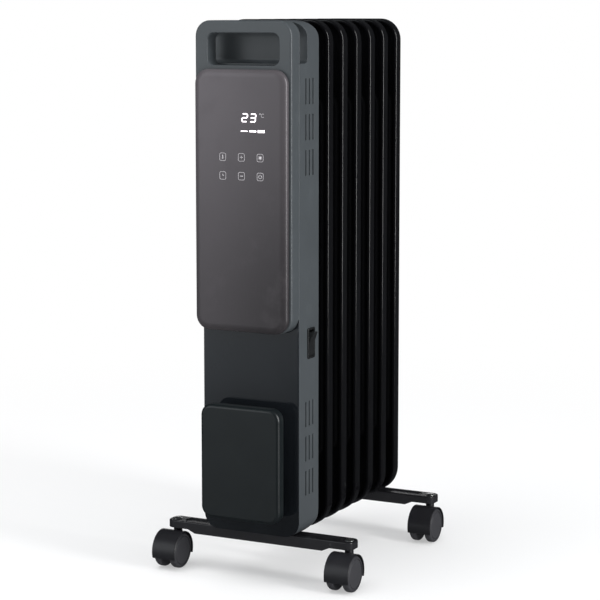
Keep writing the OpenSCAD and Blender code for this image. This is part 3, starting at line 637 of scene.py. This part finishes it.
def row_tree():
    """Repeats the incoming shape in a row."""
    tree, source, sink = node_group("Row", [
        ("Count", "NodeSocketInt"), ("Step", "NodeSocketVector"), ("Material", "NodeSocketMaterial")])
    line = add_node(tree, "GeometryNodeMeshLine", {"Count": source.outputs["Count"],
                                                   "Offset": source.outputs["Step"]})
    spread = add_node(tree, "GeometryNodeInstanceOnPoints", {
        "Points": line.outputs["Mesh"], "Instance": source.outputs["Geometry"]})
    real = add_node(tree, "GeometryNodeRealizeInstances", {"Geometry": spread.outputs["Instances"]})
    coat = add_node(tree, "GeometryNodeSetMaterial", {"Geometry": real.outputs["Geometry"],
                                                      "Material": source.outputs["Material"]})
    tree.links.new(coat.outputs["Geometry"], sink.inputs["Geometry"])
    return tree


def spots_tree():
    """Puts a copy of a pattern object on every incoming point."""
    tree, source, sink = node_group("Spots", [
        ("Pattern", "NodeSocketObject"), ("Material", "NodeSocketMaterial")])
    pattern = add_node(tree, "GeometryNodeObjectInfo", {"Object": source.outputs["Pattern"]})
    spread = add_node(tree, "GeometryNodeInstanceOnPoints", {
        "Points": source.outputs["Geometry"], "Instance": pattern.outputs["Geometry"]})
    real = add_node(tree, "GeometryNodeRealizeInstances", {"Geometry": spread.outputs["Instances"]})
    coat = add_node(tree, "GeometryNodeSetMaterial", {"Geometry": real.outputs["Geometry"],
                                                      "Material": source.outputs["Material"]})
    tree.links.new(coat.outputs["Geometry"], sink.inputs["Geometry"])
    return tree


def grow(made, tree, **values):
    """Runs a tree on an object with the named inputs and keeps the plain mesh."""
    modifier = made.modifiers.new("Grow", "NODES")
    modifier.node_group = tree
    for item in tree.interface.items_tree:
        if item.in_out == "INPUT" and item.name in values:
            modifier[item.identifier] = values[item.name]
    settle(made)
    bpy.data.node_groups.remove(tree)
    return made


# ---------- radiator ----------


def fin_mesh(bm, node):
    """One fin: folded rim, web, pressed oil channels and header bosses."""
    low, high, middle = place(node)
    header_low, (left, right, header_high) = place("lower_header")[2], place("upper_header")
    header_r = (right.x - left.x) / 2
    half = (high.y - low.y) / 2
    bend, sheet, lip = sizes().rim_edge, sizes().rim_sheet, sizes().lip
    width = high.x - low.x

    def ring(inset, depth):
        points = outline(width, low.z, high.z, FIN_TOP_R, FIN_BOTTOM_R, inset, steps=12)
        return [(x, middle.y + depth, z) for x, z in points]

    outer = [(inset, depth - half) for inset, depth in round_over(bend)]
    inner = [(sheet + inset, depth - half + sheet) for inset, depth in round_over(bend - 0.6 * sheet, 3)]
    front = [(lip, -half)] + outer
    front_in = [(lip, sheet - half)] + inner
    section = front + [(i, -d) for i, d in reversed(front)]
    section += [(i, -d) for i, d in front_in] + front_in[::-1]
    loft(bm, [ring(i, d) for i, d in section], closed=True)

    loft(bm, [ring(sheet / 2, -FIN_WEB), ring(sheet / 2, FIN_WEB)])

    reach = half - 1.3 * MM
    channel = sizes().channel_width
    z0, z1 = header_low.z + 1.9 * header_r, header_high.z - 1.8 * header_r
    spacing = width / 2 - 5.5 * MM - channel / 2
    bulge = [(0.0, 0.0), (0.7 * MM, 1.6 * MM), (2.2 * MM, 3.8 * MM),
             (4.0 * MM, reach - 0.3 * MM), (5.6 * MM, reach)]
    for side in (-1, 0, 1):
        rings = [[(x + side * spacing, middle.y + s * depth, z) for x, z in
                  outline(channel, z0, z1, channel / 2 - 0.1 * MM, inset=inset, steps=8)]
                 for s, levels in ((-1, bulge[::-1]), (1, bulge[1:])) for inset, depth in levels]
        loft(bm, rings)

    shoulder = header_r + 8 * MM
    boss = [(-reach, header_r - 1 * MM), (-reach, header_r + 2.5 * MM),
            (-reach + 1 * MM, header_r + 4 * MM), (-1.5 * MM, shoulder - 1 * MM),
            (-FIN_WEB, shoulder + 1.5 * MM)]
    boss += [(-d, r) for d, r in reversed(boss)]
    for centre in (header_low, header_high):
        lathe(bm, boss, Vector((0, middle.y, centre.z)), Vector((0, 1, 0)), 48)


class HEATER_OT_fins(bpy.types.Operator):
    """Pressed steel fins in a row along the oil headers"""

    bl_idname = "heater.fins"
    bl_label = "Fins"

    def execute(self, context):
        bm = bmesh.new()
        fin_mesh(bm, FIN_NODES[0])
        outward(bm)
        made = new_object("fin_pack", bm, "enamel_black")
        step = place(FIN_NODES[1])[2] - place(FIN_NODES[0])[2]
        grow(made, row_tree(), Count=len(FIN_NODES), Step=tuple(step), Material=finish("enamel_black"))
        made.data.shade_smooth()
        even_normals(made, 40)
        hand_over(made, "radiator", "enamel_black", *FIN_NODES)
        return {"FINISHED"}


# ---------- housing ----------


class HEATER_OT_housing(bpy.types.Operator):
    """Control housing, handle cover, front plate and rear shell"""

    bl_idname = "heater.housing"
    bl_label = "Housing"

    def execute(self, context):
        low, high, _ = place("control_housing")
        bar = 8 * MM
        half_hole = (high.x - low.x) / 2 - 12 * MM

        def housing_rule(point, edge):
            if point.y > high.y - 12 * MM and abs(point.x) > high.x - 20 * MM:
                return 0.7 * MM
            if point.y > low.y + 0.4 * MM:
                return 0.35 * MM
            inside = abs(point.x) < half_hole and low.z + bar < point.z < high.z - bar
            return sizes().hole_edge if inside else sizes().housing_edge

        made = softened("control_housing_shell", "control_housing", "housing_black", housing_rule, 4)
        hand_over(made, "radiator", "housing_black", "control_housing")

        made = softened("handle_cover", "handle_back", "housing_black", lambda point, edge: 0.5 * MM)
        hand_over(made, "radiator", "housing_black", "handle_back")

        front = place("front_plate")[0].y

        def plate_rule(point, edge):
            return 0.8 * MM if point.y < front + 0.1 * MM else 0.2 * MM

        made = softened("front_cover", "front_plate", "front_gloss", plate_rule)
        hand_over(made, "radiator", "front_gloss", "front_plate")

        joint = place("rear_shell")[0].y

        def shell_rule(point, edge):
            at_joint = point.y < joint + 0.1 * MM and abs(point.x) > high.x - 1 * MM
            return 0.7 * MM if at_joint else 0.3 * MM

        made = softened("rear_cover", "rear_shell", "housing_black", shell_rule, 2)
        hand_over(made, "radiator", "housing_black", "rear_shell")
        return {"FINISHED"}


class HEATER_OT_fascia(bpy.types.Operator):
    """Touch panel with pillow edges, its digits and its key symbols"""

    bl_idname = "heater.fascia"
    bl_label = "Fascia"

    def execute(self, context):
        low, high, _ = place("fascia")
        width = high.x - low.x
        rear = high.y - FASCIA_GAP
        edge = sizes().fascia_edge
        bm = bmesh.new()
        loft(bm, slab_rings(width, low.z, high.z, FASCIA_R, low.y, rear, 1.7 * edge, 0.6 * MM,
                            front_depth=edge, steps=14))
        loft(bm, slab_rings(width - 2 * FASCIA_STEP, low.z + FASCIA_STEP, high.z - FASCIA_STEP,
                            FASCIA_FOOT_R, rear - 0.5 * MM, high.y, 0.1 * MM, 0.1 * MM))
        outward(bm)
        made = even_normals(new_object("fascia_panel", bm, "fascia_satin"))
        hand_over(made, "radiator", "fascia_satin", "fascia")
        self.display(low.y)
        self.keys(low.y)
        return {"FINISHED"}

    def display(self, face):
        """Two digits, the degree sign and three level bars."""
        board = place("display_module")[2]
        bm = bmesh.new()
        for x, lit in ((-9.4, "abged"), (0.6, "abgcd")):
            digit(bm, Vector((board.x + x * MM, face, board.z + 5.7 * MM)), 7.6 * MM, 9.6 * MM, lit)
        for x, thick in ((-10, 1.0), (0.4, 1.9), (10.4, 2.8)):
            plaque(bm, board.x + x * MM, board.z - 8.6 * MM, 8.2 * MM, thick * MM, 0.3 * MM, face)
        hand_over(new_object("display_digits", bm, "display_light"), "radiator", "display_black")

        bm = bmesh.new()
        hoop(bm, board.x + 9.0 * MM, board.z + 10.0 * MM, 1.7 * MM, 1.7 * MM, 0.84 * MM, 0.35 * MM, face)
        stroke(bm, arc((board.x + 12.4 * MM, board.z + 8.3 * MM), 1.9 * MM, 50, 310, 12), 0.45 * MM, face)
        hand_over(new_object("degree_sign", bm, "printed_grey"), "radiator", "display_black")

    def keys(self, face):
        """Six outlined key symbols over the touch springs."""
        low, high, middle = place("touch_springs")
        bm = bmesh.new()
        step_x = (high.x - low.x) / 2 - 4 * MM
        step_z = (high.z - low.z) - 8 * MM
        for column in (-1, 0, 1):
            for row in (1, -1):
                x, z = middle.x + column * step_x, middle.z + row * step_z / 2
                hoop(bm, x, z, 7.8 * MM, 8.6 * MM, 1.9 * MM, 0.42 * MM, face)
                self.symbol(bm, x, z, column, row, face)
        hand_over(new_object("key_symbols", bm, "printed_grey"), "radiator", "display_black")

    def symbol(self, bm, x, z, column, row, face):
        line = 0.5 * MM
        reach = 1.7 * MM
        if (column, row) == (-1, 1):
            hoop(bm, x, z - 1.3 * MM, 1.8 * MM, 1.8 * MM, 0.88 * MM, 0.5 * MM, face)
            stroke(bm, [(x, z - 0.5 * MM), (x, z + 2.2 * MM)], 0.9 * MM, face)
        elif (column, row) == (0, 1):
            stroke(bm, [(x - reach, z), (x + reach, z)], line, face)
            stroke(bm, [(x, z - reach), (x, z + reach)], line, face)
        elif (column, row) == (1, 1):
            plaque(bm, x, z, 3.0 * MM, 3.0 * MM, 1.0 * MM, face)
            for turn in range(8):
                a = math.tau * turn / 8
                near, far = 1.7 * MM, 2.3 * MM
                stroke(bm, [(x + near * math.cos(a), z + near * math.sin(a)),
                            (x + far * math.cos(a), z + far * math.sin(a))], 0.4 * MM, face)
        elif (column, row) == (-1, -1):
            stroke(bm, [(x, z + 1.8 * MM), (x, z), (x + 1.5 * MM, z)], line, face)
        elif (column, row) == (0, -1):
            stroke(bm, [(x - reach, z), (x + reach, z)], 0.75 * MM, face)
        else:
            stroke(bm, arc((x, z), 1.9 * MM, 120, 420, 16), line, face)
            stroke(bm, [(x, z + 0.4 * MM), (x, z + 2.4 * MM)], line, face)


def prism(bm, points, face):
    """Flat shape just proud of the face and sunk a little into it."""
    loft(bm, [[(x, face + depth, z) for x, z in points] for depth in (-PROUD, SUNK)])


def plaque(bm, x, z, width, height, corner, face):
    points = outline(width, -height / 2, height / 2, min(corner, 0.49 * height), steps=4)
    prism(bm, [(x + px, z + pz) for px, pz in points], face)


def hoop(bm, x, z, width, height, corner, line, face):
    """Rounded outline of an even line width."""
    rings = [[(x + px, face + depth, z + pz) for px, pz in
              outline(width, -height / 2, height / 2, corner, inset=inset, steps=8)]
             for inset, depth in ((0, SUNK), (0, -PROUD), (line, -PROUD), (line, SUNK))]
    loft(bm, rings, closed=True)


def stroke(bm, points, line, face):
    """Line of even width through the points, with square ends."""
    left, right = [], []
    for i, point in enumerate(points):
        before = Vector(points[max(i - 1, 0)])
        after = Vector(points[min(i + 1, len(points) - 1)])
        along = (after - before).normalized()
        side = Vector((-along.y, along.x)) * line / 2
        left.append(tuple(Vector(point) + side))
        right.append(tuple(Vector(point) - side))
    prism(bm, left + right[::-1], face)


def digit(bm, centre, width, height, lit):
    """Seven-segment digit with slanted strokes."""
    line, gap, lean = 1.35 * MM, 0.25 * MM, 0.1
    half, rise = (width - line) / 2, (height - line) / 2
    ends = {
        "a": ((-half, rise), (half, rise)), "g": ((-half, 0), (half, 0)),
        "d": ((-half, -rise), (half, -rise)), "b": ((half, 0), (half, rise)),
        "e": ((-half, -rise), (-half, 0)), "c": ((half, -rise), (half, 0)),
    }
    for name in lit:
        start, end = (Vector(point) for point in ends[name])
        along = (end - start).normalized()
        side = Vector((-along.y, along.x)) * line / 2
        tip = along * line / 2
        first, last = start + along * gap, end - along * gap
        shape = (first - tip * 0.2, first + side + tip * 0.8, last + side - tip * 0.8, last + tip * 0.2,
                 last - side - tip * 0.8, first - side + tip * 0.8)
        prism(bm, [(centre.x + p.x + lean * p.y, centre.z + p.y) for p in shape], centre.y)


# ---------- switch ----------


class HEATER_OT_switch(bpy.types.Operator):
    """Power rocker and its frame on the right side"""

    bl_idname = "heater.switch"
    bl_label = "Switch"

    def execute(self, context):
        side = place("rear_shell")[1].x

        def rule(point, edge):
            return 0.7 * MM if point.x > side + 0.2 * MM else 0.15 * MM

        made = softened("switch_frame", "switch_bezel", "switch_black", rule)
        hand_over(made, "radiator", "switch_black", "switch_bezel")
        made = softened("rocker_key", "power_rocker", "switch_black", lambda point, edge: 0.5 * MM)
        hand_over(made, "rocker", "switch_black", "power_rocker")
        return {"FINISHED"}


# ---------- cord wrap ----------


class HEATER_OT_cord_wrap(bpy.types.Operator):
    """Neck and two-part flange that the mains cord winds on"""

    bl_idname = "heater.cord_wrap"
    bl_label = "Cord wrap"

    def execute(self, context):
        for name, node, front, back in (
                ("flange_cover", "cord_flange_cover", sizes().flange_edge, 0.5 * MM),
                ("flange_base", "cord_flange_inner", 0.5 * MM, 1.6 * MM)):
            low, high, _ = place(node)
            bm = bmesh.new()
            loft(bm, slab_rings(high.x - low.x, low.z, high.z, FLANGE_R, low.y, high.y, front, back,
                                steps=12))
            outward(bm)
            made = even_normals(new_object(name, bm, "wrap_black"))
            hand_over(made, "radiator", "wrap_black", node)

        made = softened("wrap_neck", "cord_neck", "wrap_black", lambda point, edge: 0.25 * MM, 2)
        hand_over(made, "radiator", "wrap_black", "cord_neck")
        return {"FINISHED"}


# ---------- base ----------


def stadium_cutter(x0, x1, y, half, z, depth, flare):
    """Long round-ended tool with sloping walls, sunk from height z."""
    bm = bmesh.new()
    rings = []
    for inset, level in ((flare, z - depth), (0.0, z + 0.02 * MM), (0.0, z + 4 * MM)):
        r = half - inset
        points = arc((x1 - half, y), r, -90, 90, 12) + arc((x0 + half, y), r, 90, 270, 12)
        rings.append([(px, py, level) for px, py in points])
    loft(bm, rings)
    outward(bm)
    mesh = bpy.data.meshes.new("cutter")
    bm.to_mesh(mesh)
    bm.free()
    cutter = bpy.data.objects.new("cutter", mesh)
    bpy.context.scene.collection.objects.link(cutter)
    return cutter


class HEATER_OT_brackets(bpy.types.Operator):
    """Cross brackets with pressed recesses, and the stems riveted into them"""

    bl_idname = "heater.brackets"
    bl_label = "Brackets"

    def execute(self, context):
        for node in ("front_bracket", "rear_bracket"):
            _, high, middle = place(node)
            stem = high.x - 8 * MM

            def rule(point, edge):
                inside = abs(point.y - middle.y) < BRACKET_HALF and abs(point.x) < stem + 5 * MM
                if point.z > high.z - 0.2 * MM:
                    return 0.3 * MM if inside else 1.2 * MM
                return 0.2 * MM

            cutters = []
            for s in (-1, 1):
                ends = sorted((s * 34 * MM, s * (stem - 11 * MM)))
                cutters.append(stadium_cutter(*ends, middle.y, 7.4 * MM, high.z, 1.05 * MM, 0.7 * MM))
            made = softened(node + "_channel", node, "enamel_black", rule, cutters=cutters)
            hand_over(made, "radiator", "enamel_black", node)
        self.stems()
        return {"FINISHED"}

    def stems(self):
        """Stems with a domed rivet head over each caster."""
        low, high, middle = place("caster_stems")
        spots = bmesh.new()
        for x in (low.x, high.x):
            for y in (low.y, high.y):
                spots.verts.new((x - math.copysign(STEM_INSET, x),
                                 y - math.copysign(STEM_INSET, y - middle.y), 0))
        top = place("front_bracket")[1].z
        foot = place("hood_front_left")[1].z + 0.1 * MM
        seat = foot + 1.3 * MM
        under = top - 0.1 * MM
        profile = [(low.z, ON_AXIS), (low.z, STEM_R - 0.4 * MM), (low.z + 0.4 * MM, STEM_R),
                   (foot, STEM_R), (foot, STEM_COLLAR_R - 0.3 * MM), (foot + 0.3 * MM, STEM_COLLAR_R),
                   (seat - 0.1 * MM, STEM_COLLAR_R), (seat, STEM_R), (under, STEM_R), (under, RIVET_R)]
        profile += [(top + RIVET_RISE * math.sin(a), RIVET_R * math.cos(a))
                    for a in (math.pi / 2 * i / 8 for i in range(8))]
        profile += [(top + RIVET_RISE, ON_AXIS)]
        bm = bmesh.new()
        lathe(bm, profile, Vector((0, 0, 0)), Vector((0, 0, 1)), 32)
        outward(bm)
        pattern = new_object("stem_pattern", bm, "zinc")
        made = new_object("stems", spots, "zinc")
        grow(made, spots_tree(), Pattern=pattern, Material=finish("zinc"))
        bpy.data.objects.remove(pattern)
        made.data.shade_smooth()
        even_normals(made)
        hand_over(made, "radiator", "zinc", "caster_stems")


class HEATER_OT_casters(bpy.types.Operator):
    """Caster hoods and twin wheels"""

    bl_idname = "heater.casters"
    bl_label = "Casters"

    def execute(self, context):
        for corner in CORNERS:
            self.hood(corner)
            for side in ("a", "b"):
                self.wheel(corner, side)
        return {"FINISHED"}

    def hood(self, corner):
        node = "hood_" + corner
        low, high, middle = place(node)

        def rule(point, edge):
            side = abs(point.x - middle.x) > (high.x - low.x) / 2 - 0.2 * MM
            return 0.45 * MM if side else 0.25 * MM

        made = softened("cover_" + corner, node, "caster_black", rule, 3)
        hand_over(made, "caster_" + corner, "caster_black", node)

    def wheel(self, corner, side):
        """Turned wheel: rounded tread, sunk ring and a raised cap on its outer face."""
        node = f"wheel_{corner}_{side}"
        low, high, middle = place(node)
        out = 1 if side == "b" else -1
        width, radius, edge = high.x - low.x, (high.z - low.z) / 2, sizes().wheel_edge
        start = low.x if out > 0 else high.x
        inner = 0.8 * edge
        profile = [(0.0, ON_AXIS), (0.0, radius - inner)]
        profile += [(inner * (1 - math.cos(a)), radius - inner + inner * math.sin(a))
                    for a in (math.pi / 2 * i / 5 for i in range(1, 6))]
        profile += [(width - edge + edge * math.sin(a), radius - edge + edge * math.cos(a))
                    for a in (math.pi / 2 * i / 6 for i in range(7))]
        disc = radius - edge - 1.6 * MM
        sunk, cap = width - 1.1 * MM, width - 0.15 * MM
        profile += [(width, disc + 1.3 * MM), (sunk, disc + 1.1 * MM), (sunk, disc + 0.3 * MM),
                    (width - 0.5 * MM, disc), (cap, disc - 0.5 * MM), (cap, ON_AXIS)]
        bm = bmesh.new()
        lathe(bm, profile, Vector((start, middle.y, middle.z)), Vector((out, 0, 0)), 72)
        outward(bm)
        made = even_normals(new_object(f"roller_{corner}_{side}", bm, "caster_wheel"))
        hand_over(made, f"wheel_{corner}_{side}", "caster_wheel", node)


# ---------- everything that keeps its CAD shape ----------


class HEATER_OT_finishes(bpy.types.Operator):
    """Finishes of the pieces that keep their CAD shape"""

    bl_idname = "heater.finishes"
    bl_label = "Finishes"

    def execute(self, context):
        slots = {row["node"]: row["material_slot"] for row in frame["record"]["subparts"]}
        for node, shape in frame["nodes"].items():
            shape.data.materials.clear()
            shape.data.materials.append(finish(slots[node]))
        return {"FINISHED"}


# ---------- stage ----------


def soft_light(name, size, power, position, target, glossy=True):
    lamp = bpy.data.lights.new(name, "AREA")
    lamp.shape = "RECTANGLE"
    lamp.size, lamp.size_y = size
    lamp.energy = power
    made = bpy.data.objects.new(name, lamp)
    made.location = position
    made.rotation_euler = (Vector(target) - Vector(position)).to_track_quat("-Z", "Y").to_euler()
    made.visible_camera = False
    made.visible_glossy = glossy
    bpy.context.scene.collection.objects.link(made)
    return made


class HEATER_OT_stage(bpy.types.Operator):
    """Pale floor, soft lights, white surround and camera"""

    bl_idname = "heater.stage"
    bl_label = "Stage"

    def execute(self, context):
        self.floor()
        self.surround()
        self.front_card()
        soft_light("top_card", (2.0, 2.0), 40, (-0.5, -0.7, 2.7), (0, 0, 0.3), glossy=False)
        soft_light("side_strip", (0.6, 2.8), 84, (2.8, -0.55, 1.15), (0, 0, 0.4))
        soft_light("rear_card", (1.5, 0.9), 9, (-1.05, 2.7, 0.1), (0, 0, 0.2))
        self.camera()
        context.scene.view_settings.view_transform = "Standard"
        return {"FINISHED"}

    def floor(self):
        """Pale paper that runs out into the white surround, so no edge shows; it glows white, painted
        light that pales the shadows under the heater.
        """
        bm = bmesh.new()
        bmesh.ops.create_circle(bm, cap_ends=True, radius=3.2, segments=96)
        mesh = bpy.data.meshes.new("floor")
        bm.to_mesh(mesh)
        bm.free()
        made = bpy.data.objects.new("floor", mesh)
        bpy.context.scene.collection.objects.link(made)
        paper = Finish("floor_paper")
        fibre = paper.noise(300, 3)
        shade = paper.blend(fibre, (0.86, 0.86, 0.86), (0.9, 0.9, 0.9))
        # painted light: the paper is mixed with white glow, 40 % near the heater and fully from 1.4 m
        # out, which pales the shadows under the heater and hides the floor's edge
        away = paper.out("ShaderNodeVectorMath", {"operation": "LENGTH"}, {0: paper.place}, "Value")
        fade = paper.between(away, 0.1, 1.4, 0.4, 1.0)
        light = paper.out("ShaderNodeEmission", None, {"Color": (1, 1, 1), "Strength": 1.0})
        mesh.materials.append(paper.set(Base_Color=shade, Roughness=0.9, Specular_IOR_Level=0.1))
        mix = paper.node("ShaderNodeMixShader", None, {0: fade})
        paper.tree.links.new(paper.surface.outputs[0], mix.inputs[1])
        paper.tree.links.new(light.socket, mix.inputs[2])
        paper.tree.links.new(mix.outputs[0], paper.tree.nodes["Material Output"].inputs["Surface"])
        made.visible_glossy = False
        made.visible_shadow = False
        made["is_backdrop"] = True

    def front_card(self):
        """Tall lit card, brightest high on the left: glossy faces fade down and to the right."""
        left, right, y, low, high = -2.85, -0.65, -2.9, -1.55, 3.05
        corners = [(left, y, low), (left, y, high), (right, y, high), (right, y, low)]
        mesh = bpy.data.meshes.new("front_card")
        mesh.from_pydata(corners, [], [(0, 1, 2, 3)])
        made = bpy.data.objects.new("front_card", mesh)
        bpy.context.scene.collection.objects.link(made)
        card = Finish("front_card")
        rise = card.between(card.axis("Z"), -0.85, 0.6, 0.1 / 1.35, 1.0)
        across = card.between(card.axis("X"), -0.95, -1.85, 0.35, 1.0)
        glow = card.blend(rise * across, (0, 0, 0), (0.93, 0.97, 1.0))
        mesh.materials.append(card.set(Base_Color=(0, 0, 0), Roughness=1.0, Specular_IOR_Level=0.0,
                                       Emission_Color=glow, Emission_Strength=1.45 * 1.35))
        made.visible_camera = False
        made.visible_shadow = False
        made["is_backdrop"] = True

    def surround(self):
        """White behind the object, a soft fill on it and little to mirror."""
        world = bpy.data.worlds.new("surround")
        bpy.context.scene.world = world
        world.use_nodes = True
        nodes, links = world.node_tree.nodes, world.node_tree.links
        path = nodes.new("ShaderNodeLightPath")
        chosen = nodes["Background"]
        chosen.inputs["Color"].default_value = (0.95, 0.97, 1.0, 1)
        chosen.inputs["Strength"].default_value = 0.6
        for ray, colour, strength in (("Is Glossy Ray", (0.9, 0.95, 1.0, 1), 0.04),
                                      ("Is Camera Ray", (1, 1, 1, 1), 1.0)):
            tone = nodes.new("ShaderNodeBackground")
            tone.inputs["Color"].default_value = colour
            tone.inputs["Strength"].default_value = strength
            mix = nodes.new("ShaderNodeMixShader")
            links.new(path.outputs[ray], mix.inputs[0])
            links.new(chosen.outputs[0], mix.inputs[1])
            links.new(tone.outputs[0], mix.inputs[2])
            chosen = mix
        links.new(chosen.outputs[0], nodes["World Output"].inputs["Surface"])

    def camera(self):
        lens = bpy.data.cameras.new("camera")
        lens.lens = 118.1
        lens.shift_y = -0.08
        made = bpy.data.objects.new("camera", lens)
        made.location = (0.9961, -2.0069, 0.6288)
        made.rotation_euler = (math.radians(90 - 6.98), 0, math.radians(26.45))
        bpy.context.scene.collection.objects.link(made)
        bpy.context.scene.camera = made


# ---------- panel and run ----------

OPERATORS = (HEATER_OT_stage, HEATER_OT_finishes, HEATER_OT_fins, HEATER_OT_housing, HEATER_OT_fascia,
             HEATER_OT_switch, HEATER_OT_cord_wrap, HEATER_OT_brackets, HEATER_OT_casters)


class HEATER_PT_panel(bpy.types.Panel):
    """Heater builder"""

    bl_idname = "HEATER_PT_panel"
    bl_label = "Heater"
    bl_space_type = "VIEW_3D"
    bl_region_type = "UI"
    bl_category = "Heater"

    def draw(self, context):
        for group in (context.scene.heater_sizes, context.scene.heater_colours):
            box = self.layout.box()
            for name in group.__annotations__:
                box.prop(group, name)
        for operator in OPERATORS:
            self.layout.operator(operator.bl_idname)


CLASSES = (HeaterSizes, HeaterColours, *OPERATORS, HEATER_PT_panel)


def register():
    for cls in CLASSES:
        bpy.utils.register_class(cls)
    bpy.types.Scene.heater_sizes = bpy.props.PointerProperty(type=HeaterSizes)
    bpy.types.Scene.heater_colours = bpy.props.PointerProperty(type=HeaterColours)


def unregister():
    del bpy.types.Scene.heater_colours
    del bpy.types.Scene.heater_sizes
    for cls in reversed(CLASSES):
        bpy.utils.unregister_class(cls)


def main():
    register()
    for operator in OPERATORS:
        group, name = operator.bl_idname.split(".")
        getattr(getattr(bpy.ops, group), name)()
    boxes = {"cad": CAD_BOX, "visual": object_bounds()}
    {key: [list(corner) for corner in value] for key, value in boxes.items()}


if __name__ == "__main__":
    main()
